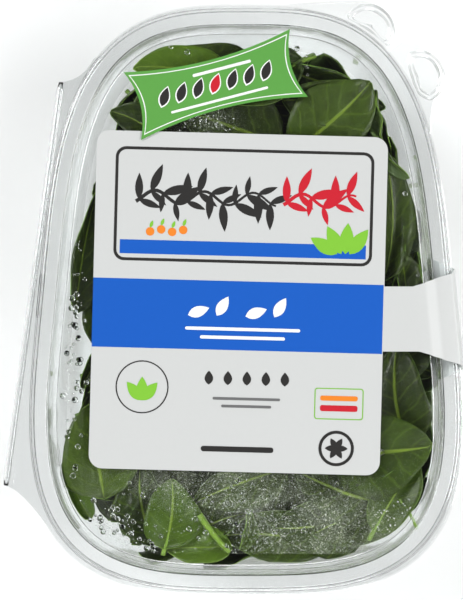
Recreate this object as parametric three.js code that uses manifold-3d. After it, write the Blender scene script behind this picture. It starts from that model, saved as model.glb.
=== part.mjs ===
// A shut clear clamshell of baby spinach: a thermoformed PET tray and lid that meet at a living hinge, a paper
// label whose seal strip wraps over the rim, a small second sticker, and the heap of leaves inside.
// Millimetres, +Z up. The pack lies on the tray's floor. The origin is on the underside of the floor, at the
// middle of the body. +Y points to the narrow arched end, and the hinge is on the -X side.
import * as THREE from "three";
import { mergeVertices } from "three/addons/utils/BufferGeometryUtils.js";
import Module from "manifold-3d";

const wasm = await Module();
wasm.setup();

// Body outline, seen from above, measured at the inner edge of the rim
const BODY_HALF_LENGTH = 110.5;
const BODY_HALF_WIDTH = 76.3;
const BODY_TAPER = -10.4; // change of half width from the middle to the narrow end
const BODY_BULGE = 4.0; // extra half width at both ends
const BODY_SQUARENESS = 3.2; // superellipse power: 2 is an ellipse, more is squarer
const BODY_SEGMENTS = 72;
const CORNER_REACH = 90; // how strongly the segments crowd into the corners, in mm for each radian of turn
const STAND_FACE_Y = -107.2; // flat end wall on which the pack stands in a shop

// Clear sheet
const SHEET = 0.7;
const FIT_GAP = 0.4; // clearance between lid and tray
const RIM_STEP = SHEET + FIT_GAP;
const TRAY_DEPTH = 65.6; // middle of the sheet at the tray's rim
const LID_RISE = 2.1; // lid panel above the lid's rim
const RIM_WIDTH = 5.2;
const SKIRT_DROP = 4.0;
const SKIRT_LEAN = 0.4;
const LIP_WIDTH = 1.1;
const RIM_ROUND = 0.5; // rounding at the rim's outer edge and at the edge of the lid's panel
const PANEL_ROUND = 1.6;
const GROOVE_WIDTH = 2.0;
const GROOVE_DEPTH = 2.6;
const WALL_DRAFT = 4.4; // how far the tray wall leans in, from rim to floor
const FLOOR_CORNER = 5.0;
const RIB_INSET = 16; // stiffening rib in the floor, measured in from the wall's foot
const RIB_WIDTH = 6;
const RIB_RISE = 1.8;
const RIB_SLOPE = 0.8; // run of the rib's sides for each mm of rise

const SHEET_HALF = SHEET / 2;
const PLATE_HALF = SHEET_HALF - 0.05; // flaps and tabs are drawn a little thinner than the sheet they grow from
const PLATE_ROOT = 0.4; // how far out of the skirt's foot a flap or tab starts
const TRAY_LIP_Z = TRAY_DEPTH - SKIRT_DROP;
const LID_RIM_Z = TRAY_DEPTH + RIM_STEP;
const LID_LIP_Z = TRAY_LIP_Z + RIM_STEP;
const LID_PANEL_Z = LID_RIM_Z + LID_RISE;
const GROOVE_OUT = -RIM_STEP + 0.1; // the lid's groove sits just inside the tray wall
const LIP_EDGE = RIM_WIDTH + RIM_STEP + SKIRT_LEAN + LIP_WIDTH;
const LIP_CORNER_SWELL = 0.9; // the lip is wider round the corners, and more so at the wide end
const LIP_END_SWELL = 0.6;

// Living hinge, a straight fold along the -X side
const HINGE_TOP = [-74.2, 87.6];
const HINGE_FOOT = [-96.4, -74.6];
const HINGE_MEETS_LIP_TOP = [-60.5, 98.5];
const HINGE_MEETS_LIP_FOOT = [-78.0, -93.5];
const HINGE_TOP_PULL = [-64.5, 88.6]; // the flap's ends are hollow curves drawn towards these points
const HINGE_FOOT_PULL = [-89.5, -76.5];
const HINGE_BEAD_R = 1.7;
const HINGE_BEAD_MOUTH = 32; // half angle left open, in degrees
const HINGE_PLATE_IN = 24; // how far the plates run in under the rim before they are trimmed

// Pull tabs, side by side round the corner opposite the hinge: one on the lid, one on the tray. Each edge runs
// from where it leaves the lip to where it meets it again.
const LID_TAB = {
  edge: [
    [12, 118.6],
    [40, 120.3],
    [49.8, 119.7],
    [56.2, 116.4],
    [59.4, 111.4],
    [60.5, 105.4],
  ],
  pad: { x: 51.0, y: 110.9, turn: -36 },
};
const TRAY_TAB = {
  edge: [
    [60.9, 105.0],
    [68, 103.4],
    [74.6, 98.6],
    [78.2, 91.2],
    [77.8, 84.5],
    [75.6, 76],
    [74.4, 64],
  ],
  pad: { x: 72.6, y: 91.0, turn: -66 },
};
const TAB_ROOT = 22; // how far a tab's plate runs in under the rim before it is trimmed
const PAD_LENGTH = 21;
const PAD_WIDTH = 10;
const PAD_RISE = 1.2;

// Label and seal strip
const PAPER = 0.3;
const PAPER_GAP = 0.35;
const LABEL = { x: -2.9, y: -1.1, width: 116.4, height: 135.2, corner: 5.4, turn: -1.5 };
const STRIP_Y = -7.6;
const STRIP_NECK = 26;
const STRIP_RIM = 37;
const STRIP_END = 50;
const STRIP_START_X = 50;
const STRIP_TUCK = 14; // how far the strip runs down the tray wall, under the lip

// Second sticker, a four-pointed banner across the corner of the label
const STICKER = { x: -12, y: 86.1, length: 68.8, height: 28, turn: 14.6, longPinch: 4, shortPinch: 3.3 };

// Leaves
const LEAF_THICK = 0.9;
const HEAP_SEED = 7;
const HEAP_CLEARANCE = 0.9;
const CORE_INSET = 12;
const CORE_FOOT_Z = 9;
const CORE_TOP_Z = 61;
const FLOOR_LEAVES = 4;
const WALL_LEAVES = 9; // in each of two rows round the wall
const PRESS_STEP = 0.8; // a leaf moves in by this much at a time until it touches the heap
const PRESS_OVERLAP = 8; // volume that a leaf shares with the heap when it counts as touching
const PRESS_LIMIT = 12;
// Places where the heap stands back from the wall, as turns round the outline in degrees
const HEAP_GAPS = [
  { turn: 84, gap: 8, spread: 34 },
  { turn: 164, gap: 7, spread: 12 },
  { turn: 188, gap: 13, spread: 7 },
  { turn: 229, gap: 14, spread: 11 },
];

const DEG = Math.PI / 180;

function randomFrom(seed) {
  let state = seed;
  return () => {
    state = (state + 0x6d2b79f5) | 0;
    let t = Math.imul(state ^ (state >>> 15), 1 | state);
    t = (t + Math.imul(t ^ (t >>> 7), 61 | t)) ^ t;
    return ((t ^ (t >>> 14)) >>> 0) / 4294967296;
  };
}

// Solids from and to three.js geometry

function solidOf(geometry) {
  const bare = new THREE.BufferGeometry().setAttribute("position", geometry.getAttribute("position"));
  if (geometry.index) bare.setIndex(geometry.index);
  const merged = mergeVertices(bare, 1e-4);
  const solid = new wasm.Manifold(
    new wasm.Mesh({
      numProp: 3,
      vertProperties: new Float32Array(merged.attributes.position.array),
      triVerts: new Uint32Array(merged.index.array),
    }),
  );
  if (solid.volume() > 0) return solid;
  const triangles = merged.index.array;
  for (let i = 0; i < triangles.length; i += 3)
    [triangles[i + 1], triangles[i + 2]] = [triangles[i + 2], triangles[i + 1]];
  return solidOf(merged);
}

function geometryOf(solid) {
  const mesh = solid.getMesh();
  const points = new Float32Array(mesh.numVert * 3);
  for (let i = 0; i < mesh.numVert; i++)
    points.set(mesh.vertProperties.subarray(i * mesh.numProp, i * mesh.numProp + 3), i * 3);
  const geometry = new THREE.BufferGeometry();
  geometry.setAttribute("position", new THREE.BufferAttribute(points, 3));
  geometry.setIndex(new THREE.BufferAttribute(new Uint32Array(mesh.triVerts), 1));
  geometry.computeVertexNormals();
  return geometry;
}

// Closed surface through a stack of rings, with a fan over the first and the last.
function loft(rings) {
  const count = rings[0].length;
  const points = rings.flat();
  const triangles = [];
  for (let r = 0; r + 1 < rings.length; r++)
    for (let i = 0; i < count; i++) {
      const a = r * count + i;
      const b = r * count + ((i + 1) % count);
      triangles.push(a, b, b + count, a, b + count, a + count);
    }
  const close = (first, flip) => {
    const ring = points.slice(first, first + count);
    const middle = ring.reduce((sum, p) => sum.add(p), new THREE.Vector3()).multiplyScalar(1 / count);
    points.push(middle);
    for (let i = 0; i < count; i++) {
      const a = first + i;
      const b = first + ((i + 1) % count);
      triangles.push(...(flip ? [b, a, points.length - 1] : [a, b, points.length - 1]));
    }
  };
  const last = (rings.length - 1) * count;
  close(0, true);
  close(last, false);
  const geometry = new THREE.BufferGeometry().setFromPoints(points);
  geometry.setIndex(triangles);
  return solidOf(geometry);
}

function prism(shape, low, high, curveSegments = 8) {
  const geometry = new THREE.ExtrudeGeometry(shape, { depth: high - low, bevelEnabled: false, curveSegments });
  geometry.translate(0, 0, low);
  return solidOf(geometry);
}

// Body outline

function outlinePoint(turn) {
  const power = 2 / BODY_SQUARENESS;
  const s = Math.sin(turn);
  const c = Math.cos(turn);
  const along = Math.sign(s) * Math.abs(s) ** power;
  const halfWidth = BODY_HALF_WIDTH + BODY_TAPER * along + BODY_BULGE * along * along;
  return new THREE.Vector2(halfWidth * Math.sign(c) * Math.abs(c) ** power, BODY_HALF_LENGTH * along);
}

// The outline as points with their outward normals, spaced closer where it turns more.
function makeOutline(segments) {
  const fine = 2880;
  const dense = Array.from({ length: fine }, (_, i) => outlinePoint((i / fine) * 2 * Math.PI));
  const tangents = dense.map((_, i) => {
    const before = dense[(i + fine - 1) % fine];
    return dense[(i + 1) % fine].clone().sub(before).normalize();
  });
  const travel = [0];
  for (let i = 0; i < fine; i++) {
    const next = (i + 1) % fine;
    const bend = Math.acos(Math.min(1, Math.max(-1, tangents[i].dot(tangents[next]))));
    travel.push(travel[i] + dense[i].distanceTo(dense[next]) + CORNER_REACH * bend);
  }
  const outline = [];
  for (let k = 0, i = 0; k < segments; k++) {
    while (travel[i + 1] < (k / segments) * travel[fine]) i++;
    const turn = (i / fine) * 2 * Math.PI;
    outline.push({ turn, point: dense[i], normal: new THREE.Vector2(tangents[i].y, -tangents[i].x) });
  }
  return outline;
}

const OUTLINE = makeOutline(BODY_SEGMENTS);

// One level of the body: the outline moved out by an offset. Its end is cut off flat where the pack stands in a
// shop, and the free edge of the lip swells at the corners.
function ringAt(offset, z, { flatEnd = false, lip = false } = {}) {
  return OUTLINE.map(({ turn, point, normal }) => {
    const p = point.clone().addScaledVector(normal, offset + (lip ? lipSwell(turn) : 0));
    return new THREE.Vector3(p.x, flatEnd ? Math.max(p.y, STAND_FACE_Y - offset) : p.y, z);
  });
}

function lipSwell(turn) {
  const corner = Math.sin(2 * turn) ** 2;
  return LIP_END_SWELL * Math.sin(turn) ** 2 + LIP_CORNER_SWELL * corner * (0.4 - 1.3 * Math.sin(turn));
}

// Half width of the body outline at a place along its length, on the +X side.
function halfWidthAt(y) {
  const along = y / BODY_HALF_LENGTH;
  const halfWidth = BODY_HALF_WIDTH + BODY_TAPER * along + BODY_BULGE * along * along;
  return halfWidth * (1 - Math.abs(along) ** BODY_SQUARENESS) ** (1 / BODY_SQUARENESS);
}

// A sheet formed along a profile of [offset, z, options] stations, from the middle of a panel to its free edge.
function formedSheet(profile) {
  const side = profile.map(([offset, z], i) => {
    const before = profile[Math.max(i - 1, 0)];
    const after = profile[Math.min(i + 1, profile.length - 1)];
    const first = new THREE.Vector2(offset - before[0], z - before[1]).normalize();
    const second = new THREE.Vector2(after[0] - offset, after[1] - z).normalize();
    if (i === 0) first.copy(second);
    if (i === profile.length - 1) second.copy(first);
    const mitre = first.clone().add(second).normalize();
    const grow = Math.min(1 / Math.max(mitre.dot(second), 0.5), 1.6);
    return new THREE.Vector2(-mitre.y, mitre.x).multiplyScalar(SHEET_HALF * grow);
  });
  const face = (sign) =>
    profile.map(([offset, z, options], i) => ringAt(offset + sign * side[i].x, z + sign * side[i].y, options));
  return loft([...face(1), ...face(-1).reverse()]);
}

// Clear tray and lid

const FLAT_END = { flatEnd: true };
const LIP = { lip: true };
const WALL_TOP = 0.1;
const WALL_FOOT = WALL_TOP - WALL_DRAFT;

function trayProfile() {
  const floor = SHEET_HALF;
  const foot = WALL_FOOT - FLOOR_CORNER;
  const ribOut = foot - RIB_INSET;
  const ribIn = ribOut - RIB_WIDTH;
  const slope = RIB_RISE * RIB_SLOPE;
  const bend = FLOOR_CORNER * (1 - Math.SQRT1_2);
  return [
    [ribIn - slope, floor, FLAT_END],
    [ribIn, floor + RIB_RISE, FLAT_END],
    [ribOut, floor + RIB_RISE, FLAT_END],
    [ribOut + slope, floor, FLAT_END],
    [foot, floor, FLAT_END],
    [WALL_FOOT - bend, floor + bend, FLAT_END],
    [WALL_FOOT, floor + FLOOR_CORNER, FLAT_END],
    [WALL_TOP, TRAY_LIP_Z],
    [WALL_TOP, TRAY_DEPTH],
    [RIM_WIDTH, TRAY_DEPTH],
    [RIM_WIDTH + SKIRT_LEAN, TRAY_LIP_Z],
    [LIP_EDGE - FIT_GAP, TRAY_LIP_Z, LIP],
  ];
}

function lidProfile() {
  const grooveIn = GROOVE_OUT - GROOVE_WIDTH;
  const grooveZ = LID_RIM_Z - GROOVE_DEPTH;
  const rimOut = RIM_WIDTH + RIM_STEP;
  return [
    [grooveIn - PANEL_ROUND, LID_PANEL_Z],
    [grooveIn - PANEL_ROUND * 0.3, LID_PANEL_Z - PANEL_ROUND * 0.45],
    [grooveIn, grooveZ],
    [GROOVE_OUT, grooveZ],
    [GROOVE_OUT, LID_RIM_Z],
    [rimOut - RIM_ROUND, LID_RIM_Z],
    [rimOut + 0.1, LID_RIM_Z - RIM_ROUND],
    [rimOut + SKIRT_LEAN, LID_LIP_Z],
    [LIP_EDGE, LID_LIP_Z, LIP],
  ];
}

function shapeThrough(points) {
  return new THREE.Shape(points.map(({ x, y }) => new THREE.Vector2(x, y)));
}

// Everything inside the outline at an offset, as a tall block to trim with.
function outlineBlock(offset) {
  return loft([ringAt(offset, -TRAY_DEPTH), ringAt(offset, 2 * TRAY_DEPTH)]);
}

function hingePlate(z) {
  const shape = new THREE.Shape();
  shape.moveTo(...HINGE_TOP);
  shape.lineTo(...HINGE_FOOT);
  shape.quadraticCurveTo(...HINGE_FOOT_PULL, ...HINGE_MEETS_LIP_FOOT);
  shape.lineTo(HINGE_MEETS_LIP_FOOT[0] + HINGE_PLATE_IN, HINGE_MEETS_LIP_FOOT[1] + HINGE_PLATE_IN);
  shape.lineTo(HINGE_MEETS_LIP_TOP[0] + HINGE_PLATE_IN, HINGE_MEETS_LIP_TOP[1] - HINGE_PLATE_IN);
  shape.lineTo(...HINGE_MEETS_LIP_TOP);
  shape.quadraticCurveTo(...HINGE_TOP_PULL, ...HINGE_TOP);
  return prism(shape, z - PLATE_HALF, z + PLATE_HALF);
}

// C-shaped fold that runs along the hinge line and joins the two plates. Its mouth faces the body.
function hingeBead() {
  const middle = (TRAY_LIP_Z + LID_LIP_Z) / 2;
  const run = new THREE.Vector3(HINGE_TOP[0] - HINGE_FOOT[0], HINGE_TOP[1] - HINGE_FOOT[1], 0);
  const inner = HINGE_BEAD_R - SHEET;
  const section = new THREE.Shape();
  const start = HINGE_BEAD_MOUTH * DEG;
  section.absarc(0, 0, HINGE_BEAD_R, start, 2 * Math.PI - start, false);
  section.absarc(0, 0, inner, 2 * Math.PI - start, start, true);
  const settings = { depth: run.length(), bevelEnabled: false, curveSegments: 9 };
  const bead = new THREE.ExtrudeGeometry(section, settings);
  const along = run.clone().normalize();
  const up = new THREE.Vector3(0, 0, 1);
  const inwards = new THREE.Vector3().crossVectors(along, up);
  const place = new THREE.Matrix4().makeBasis(inwards, up.negate(), along);
  place.setPosition(HINGE_FOOT[0], HINGE_FOOT[1], middle);
  bead.applyMatrix4(place);
  return solidOf(bead);
}

// A rounded lobe outside the lip, with a raised pad for the thumb.
function tab({ edge, pad }, z) {
  const through = edge.map(([x, y]) => new THREE.Vector3(x, y, 0));
  const points = new THREE.CatmullRomCurve3(through, false, "centripetal").getPoints(16);
  const inwards = (p) => p.clone().multiplyScalar(1 - TAB_ROOT / p.length());
  const outline = [...points, inwards(points[points.length - 1]), inwards(points[0])];
  const plate = prism(shapeThrough(outline), z - PLATE_HALF, z + PLATE_HALF);
  return plate.add(thumbPad(z).rotate([0, 0, pad.turn]).translate([pad.x, pad.y, 0]));
}

function thumbPad(z) {
  const half = PAD_LENGTH / 2;
  const shape = new THREE.Shape();
  shape.moveTo(-half, -PAD_WIDTH * 0.2);
  shape.bezierCurveTo(-half, PAD_WIDTH * 0.8, half, PAD_WIDTH * 0.8, half, -PAD_WIDTH * 0.2);
  shape.quadraticCurveTo(half * 0.6, -PAD_WIDTH * 0.6, 0, -PAD_WIDTH * 0.45);
  shape.quadraticCurveTo(-half * 0.8, -PAD_WIDTH * 0.4, -half, -PAD_WIDTH * 0.2);
  return prism(shape, z, z + SHEET_HALF + PAD_RISE, 4);
}

function makeTray() {
  const sheet = formedSheet(trayProfile());
  const trim = outlineBlock(RIM_WIDTH + SKIRT_LEAN + PLATE_ROOT);
  const extras = hingePlate(TRAY_LIP_Z).add(tab(TRAY_TAB, TRAY_LIP_Z)).subtract(trim);
  return sheet.add(extras).add(hingeBead());
}

function makeLid() {
  const sheet = formedSheet(lidProfile());
  const trim = outlineBlock(RIM_WIDTH + RIM_STEP + SKIRT_LEAN + PLATE_ROOT);
  const extras = hingePlate(LID_LIP_Z).add(tab(LID_TAB, LID_LIP_Z)).subtract(trim);
  return sheet.add(extras).subtract(hingeClearance());
}

// Room round the hinge fold, so that the lid's plate stops just short of it.
function hingeClearance() {
  const [topX, topY] = HINGE_TOP;
  const [footX, footY] = HINGE_FOOT;
  const reach = HINGE_BEAD_R + FIT_GAP;
  const past = 2 * reach;
  const band = shapeThrough([
    { x: topX + reach, y: topY + past },
    { x: topX - past, y: topY + past },
    { x: footX - past, y: footY - past },
    { x: footX + reach, y: footY - past },
  ]);
  return prism(band, TRAY_LIP_Z - past, LID_LIP_Z + past);
}

// Label, seal strip and sticker

function roundedRectangle(width, height, corner) {
  const x = width / 2;
  const y = height / 2;
  const shape = new THREE.Shape();
  shape.moveTo(-x + corner, -y);
  shape.lineTo(x - corner, -y);
  shape.absarc(x - corner, -y + corner, corner, -Math.PI / 2, 0);
  shape.lineTo(x, y - corner);
  shape.absarc(x - corner, y - corner, corner, 0, Math.PI / 2);
  shape.lineTo(-x + corner, y);
  shape.absarc(-x + corner, y - corner, corner, Math.PI / 2, Math.PI);
  shape.lineTo(-x, -y + corner);
  shape.absarc(-x + corner, -y + corner, corner, Math.PI, 1.5 * Math.PI);
  return shape;
}

const LABEL_Z = LID_PANEL_Z + SHEET_HALF + PAPER_GAP;

// Stations along the strip: how far out from the body outline, height, and width there.
function stripStations() {
  const out = LIP_EDGE + PAPER_GAP;
  const top = LID_RIM_Z + SHEET_HALF + PAPER_GAP;
  const skirt = RIM_WIDTH + RIM_STEP + SKIRT_LEAN + SHEET_HALF + PAPER_GAP;
  const under = TRAY_LIP_Z - SHEET_HALF - PAPER_GAP - PAPER;
  const wall = WALL_TOP + SHEET_HALF + PAPER_GAP;
  const leanAt = (z) => (WALL_DRAFT * (TRAY_LIP_Z - z)) / TRAY_LIP_Z;
  const low = under - STRIP_TUCK;
  return [
    { out: -9, z: LABEL_Z, width: STRIP_NECK },
    { out: -4.2, z: LABEL_Z, width: STRIP_NECK + 2.5 },
    { out: 0.6, z: top, width: STRIP_NECK + 6 },
    { out: skirt - 0.6, z: top, width: STRIP_RIM - 1 },
    { out: skirt + 0.2, z: top - 0.9, width: STRIP_RIM },
    { out: out + 0.3, z: LID_LIP_Z + SHEET_HALF + PAPER_GAP, width: STRIP_RIM + 2 },
    { out: out + 0.7, z: (TRAY_LIP_Z + LID_LIP_Z) / 2, width: STRIP_RIM + 3 },
    { out: out + 0.3, z: under, width: STRIP_RIM + 4 },
    { out: wall + 2, z: under - 1.2, width: STRIP_END - 4 },
    { out: wall + 0.2 - leanAt(under - 4), z: under - 4, width: STRIP_END - 2 },
    { out: wall + 0.1 - leanAt(low), z: low, width: STRIP_END },
  ];
}

// The strip as a band: each station is a row of points across its width, which follow the body outline.
function sealStrip() {
  const across = 6;
  const stations = stripStations();
  const place = (station, side) => {
    const y = STRIP_Y + side * station.width * 0.5;
    return new THREE.Vector3(halfWidthAt(y) + station.out, y, station.z);
  };
  const flatStart = { z: LABEL_Z, width: STRIP_NECK };
  const rows = [];
  for (let s = -1; s < stations.length; s++) {
    const row = [];
    for (let k = 0; k <= across; k++) {
      const side = (2 * k) / across - 1;
      const start = new THREE.Vector3(STRIP_START_X, STRIP_Y + side * flatStart.width * 0.5, flatStart.z);
      row.push(s < 0 ? start : place(stations[s], side));
    }
    rows.push(row);
  }
  const outwards = rows.map((row, s) => {
    const before = rows[Math.max(s - 1, 0)][across / 2];
    const after = rows[Math.min(s + 1, rows.length - 1)][across / 2];
    const along = after.clone().sub(before).setY(0).normalize();
    return new THREE.Vector3(-along.z, 0, along.x).multiplyScalar(PAPER);
  });
  const rings = rows.map((row, s) => [...row, ...row.map((p) => p.clone().add(outwards[s])).reverse()]);
  return loft(rings);
}

function makeLabel() {
  const panel = prism(roundedRectangle(LABEL.width, LABEL.height, LABEL.corner), LABEL_Z, LABEL_Z + PAPER, 4);
  return panel.rotate([0, 0, LABEL.turn]).translate([LABEL.x, LABEL.y, 0]).add(sealStrip());
}

function makeSticker() {
  const { x, y, length, height, turn, longPinch, shortPinch } = STICKER;
  const shape = new THREE.Shape();
  const corners = [
    [-length / 2, -height / 2],
    [length / 2, -height / 2],
    [length / 2, height / 2],
    [-length / 2, height / 2],
  ];
  const pulls = [
    [0, -height / 2 + 2 * longPinch],
    [length / 2 - 2 * shortPinch, 0],
    [0, height / 2 - 2 * longPinch],
    [-length / 2 + 2 * shortPinch, 0],
  ];
  shape.moveTo(...corners[0]);
  for (let i = 0; i < 4; i++) shape.quadraticCurveTo(...pulls[i], ...corners[(i + 1) % 4]);
  const low = LABEL_Z + PAPER + PAPER_GAP;
  return prism(shape, low, low + PAPER, 8).rotate([0, 0, turn]).translate([x, y, 0]);
}

// Spinach

// A leaf: a stalk and an oval blade, cupped about its midrib, as a thin wavy solid. It lies along +X with its
// upper face up and the middle of the blade at the origin.
function leafSolid({ length, width, cup, bend, wave, stalk, steps }, random) {
  const stalkHalf = 1.1;
  const rows = [
    { u: 0, half: stalkHalf },
    ...steps.map((u) => ({ u, half: (width / 2) * bladeShape(u) })),
    { u: 1, half: width * 0.1 },
  ];
  if (stalk > 0) rows.unshift({ u: -stalk / length, half: stalkHalf });
  const phase = random() * 2 * Math.PI;
  const upper = rows.map(({ u, half }) =>
    [-1, 0, 1].map((v) => {
      const x = (u - 0.5) * length;
      const y = v * half;
      const share = half / (width / 2);
      const ripple = wave * Math.abs(v) * share * Math.sin(phase + u * 9 + v * 2);
      return new THREE.Vector3(x, y, cup * v * v * share - bend * (u - 0.5) ** 2 + ripple);
    }),
  );
  const down = new THREE.Vector3(0, 0, -LEAF_THICK);
  const count = upper[0].length;
  const points = [...upper.flat(), ...upper.flat().map((p) => p.clone().add(down))];
  const under = upper.length * count;
  const triangles = [];
  const quad = (a, b, c, d) => triangles.push(a, b, c, a, c, d);
  for (let r = 0; r + 1 < upper.length; r++)
    for (let k = 0; k + 1 < count; k++) {
      const a = r * count + k;
      quad(a, a + count, a + count + 1, a + 1);
      triangles.push(under + a, under + a + count + 1, under + a + count);
      triangles.push(under + a, under + a + 1, under + a + count + 1);
    }
  for (let r = 0; r + 1 < upper.length; r++) {
    const left = r * count;
    const right = left + count - 1;
    quad(left, under + left, under + left + count, left + count);
    quad(right + count, under + right + count, under + right, right);
  }
  const end = (upper.length - 1) * count;
  for (let k = 0; k + 1 < count; k++) {
    quad(k, k + 1, under + k + 1, under + k);
    quad(end + k + 1, end + k, under + end + k, under + end + k + 1);
  }
  const geometry = new THREE.BufferGeometry().setFromPoints(points);
  geometry.setIndex(triangles);
  return solidOf(geometry);
}

// Half width of a blade along its length, as a share of the widest.
function bladeShape(u) {
  return Math.sin(Math.PI * u ** 0.8) ** 0.7;
}

// Room for the leaves inside tray and lid.
function heapRoom() {
  const clear = SHEET_HALF + HEAP_CLEARANCE;
  const ribTop = SHEET + RIB_RISE + HEAP_CLEARANCE;
  const panel = GROOVE_OUT - GROOVE_WIDTH - clear;
  return loft([
    ringAt(WALL_FOOT - FLOOR_CORNER - clear, ribTop, FLAT_END),
    ringAt(WALL_FOOT - clear - 1, ribTop + FLOOR_CORNER, FLAT_END),
    ringAt(WALL_TOP - 1 - clear, TRAY_LIP_Z - 3, FLAT_END),
    ringAt(panel, LID_RIM_Z - GROOVE_DEPTH - 2, FLAT_END),
    ringAt(panel, LID_PANEL_Z - clear, FLAT_END),
  ]);
}

// Uneven lump under the leaves that show.
function heapCore() {
  const levels = [
    { z: CORE_FOOT_Z, inset: CORE_INSET + 6 },
    { z: CORE_FOOT_Z + 6, inset: CORE_INSET },
    { z: (CORE_FOOT_Z + CORE_TOP_Z) / 2, inset: CORE_INSET - 3 },
    { z: CORE_TOP_Z - 5, inset: CORE_INSET - 2 },
    { z: CORE_TOP_Z, inset: CORE_INSET + 5 },
  ];
  const stations = stationsRound(16, 0);
  return loft(
    levels.map(({ z, inset }, level) =>
      stations.map(({ turn, point, normal }, i) => {
        const lump = 1.8 * Math.sin(i * 2.1 + level * 1.7) + 1.3 * Math.sin(i * 1.3 - level);
        const p = point.clone().addScaledVector(normal, -(inset + lump + 0.8 * heapGap(turn)));
        return new THREE.Vector3(p.x, p.y, z + 1.2 * Math.sin(i * 1.9 + level));
      }),
    ),
  );
}

// Leaves on the top of the heap that show beside the label, round from the hinge side: middle of the blade, way
// the tip points in degrees, length and width of the blade, depth under the lid, and how far the tip and the
// left edge are lifted, in degrees.
const SHOWN_LEAVES = [
  { x: -58, y: 57, heading: 215, length: 32, width: 22, depth: 10, tip: 3, edge: 8 },
  { x: -63, y: 23, heading: 259, length: 50, width: 22, depth: 5, tip: 3, edge: 28 },
  { x: -57, y: -5, heading: 262, length: 36, width: 20, depth: 11, tip: -4, edge: 12 },
  { x: -59, y: -31, heading: 235, length: 26, width: 15, depth: 12, tip: 6, edge: -14 },
  { x: -63, y: -62, heading: 100, length: 38, width: 31, depth: 3, tip: 2, edge: 4 },
  { x: -49, y: -75, heading: 60, length: 36, width: 26, depth: 9, tip: 5, edge: -8 },
  { x: -36, y: -83, heading: 95, length: 38, width: 28, depth: 6, tip: 4, edge: 9 },
  { x: -18, y: -95, heading: 182, length: 34, width: 24, depth: 9, tip: -3, edge: 14 },
  { x: -2, y: -83, heading: 205, length: 44, width: 31, depth: 5, tip: 4, edge: -8 },
  { x: 20, y: -87, heading: 20, length: 46, width: 33, depth: 7, tip: -4, edge: 6 },
  { x: 38, y: -79, heading: 150, length: 42, width: 31, depth: 4, tip: 4, edge: 8 },
  { x: 54, y: -88, heading: 160, length: 44, width: 30, depth: 9, tip: -5, edge: -9 },
  { x: 69, y: -78, heading: 75, length: 34, width: 24, depth: 12, tip: 5, edge: 12 },
  { x: 56, y: -63, heading: 2, length: 42, width: 36, depth: 3, tip: 3, edge: 4 },
  { x: 63, y: -36, heading: 100, length: 42, width: 31, depth: 7, tip: 4, edge: -10 },
  { x: 68, y: -22, heading: 50, length: 36, width: 24, depth: 12, tip: -6, edge: 14 },
  { x: 63, y: 11, heading: 70, length: 36, width: 24, depth: 9, tip: 5, edge: -12 },
  { x: 61, y: 38, heading: 88, length: 50, width: 24, depth: 8, tip: 3, edge: 48 },
  { x: 69, y: 30, heading: 84, length: 44, width: 18, depth: 11, tip: -4, edge: 52 },
  { x: 60, y: 59, heading: -43, length: 30, width: 15, depth: 6, tip: 3, edge: 45 },
  { x: 54, y: 75, heading: 98, length: 26, width: 16, depth: 6, tip: 4, edge: -50 },
  { x: 37, y: 73, heading: 35, length: 42, width: 33, depth: 3, tip: 2, edge: 5 },
  { x: 34, y: 82, heading: 190, length: 42, width: 25, depth: 8, tip: -3, edge: -20 },
  { x: 38, y: 88, heading: -22, length: 46, width: 24, depth: 8, tip: -3, edge: 24 },
  { x: 13, y: 88, heading: 120, length: 36, width: 26, depth: 12, tip: 4, edge: -8 },
  { x: 4, y: 74, heading: 160, length: 46, width: 33, depth: 9, tip: -4, edge: 9 },
  { x: -18, y: 90, heading: 40, length: 38, width: 27, depth: 10, tip: 3, edge: -10 },
  { x: -32, y: 93, heading: 172, length: 44, width: 28, depth: 4, tip: 5, edge: 10 },
  { x: -46, y: 72, heading: 200, length: 36, width: 25, depth: 7, tip: -4, edge: 8 },
];
const SHOWN_STEPS = [0.14, 0.44, 0.82]; // where a blade is divided along its length
const INNER_STEPS = [0.2, 0.7];

function topLeaves(random) {
  return SHOWN_LEAVES.map(({ x, y, heading, length, width, depth, tip, edge }) => {
    const cup = 2 + random() * 3;
    const bend = 4 + random() * 8;
    const stalk = 9 + random() * 7;
    const leaf = leafSolid({ length, width, cup, bend, wave: 1.6, stalk, steps: SHOWN_STEPS }, random)
      .rotate([edge, -tip, heading])
      .translate([x, y, LID_PANEL_Z - depth - 2]);
    return { leaf, inwards: new THREE.Vector3(-x * 0.004, -y * 0.004, -1) };
  });
}

function randomForm(random) {
  const length = 34 + random() * 16;
  return {
    length,
    width: length * (0.58 + random() * 0.16),
    cup: 2 + random() * 4,
    bend: 3 + random() * 8,
    wave: 1.5,
    stalk: 0,
    steps: INNER_STEPS,
  };
}

// How far the heap stands back from the wall at a turn round the outline.
function heapGap(turn) {
  return HEAP_GAPS.reduce((sum, { turn: at, gap, spread }) => {
    const away = (turn / DEG - at) / spread;
    return sum + gap * Math.exp(-away * away);
  }, 0);
}

// The outline's stations, evenly spaced by the way round.
function stationsRound(count, start) {
  const next = (i) => OUTLINE[(i + 1) % OUTLINE.length];
  const lengths = OUTLINE.map(({ point }, i) => point.distanceTo(next(i).point));
  const whole = lengths.reduce((sum, length) => sum + length);
  const stations = [];
  for (let i = 0, travel = 0; i < OUTLINE.length; travel += lengths[i], i++)
    if (travel >= ((stations.length + start) / count) * whole) stations.push(OUTLINE[i]);
  return stations;
}

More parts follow.
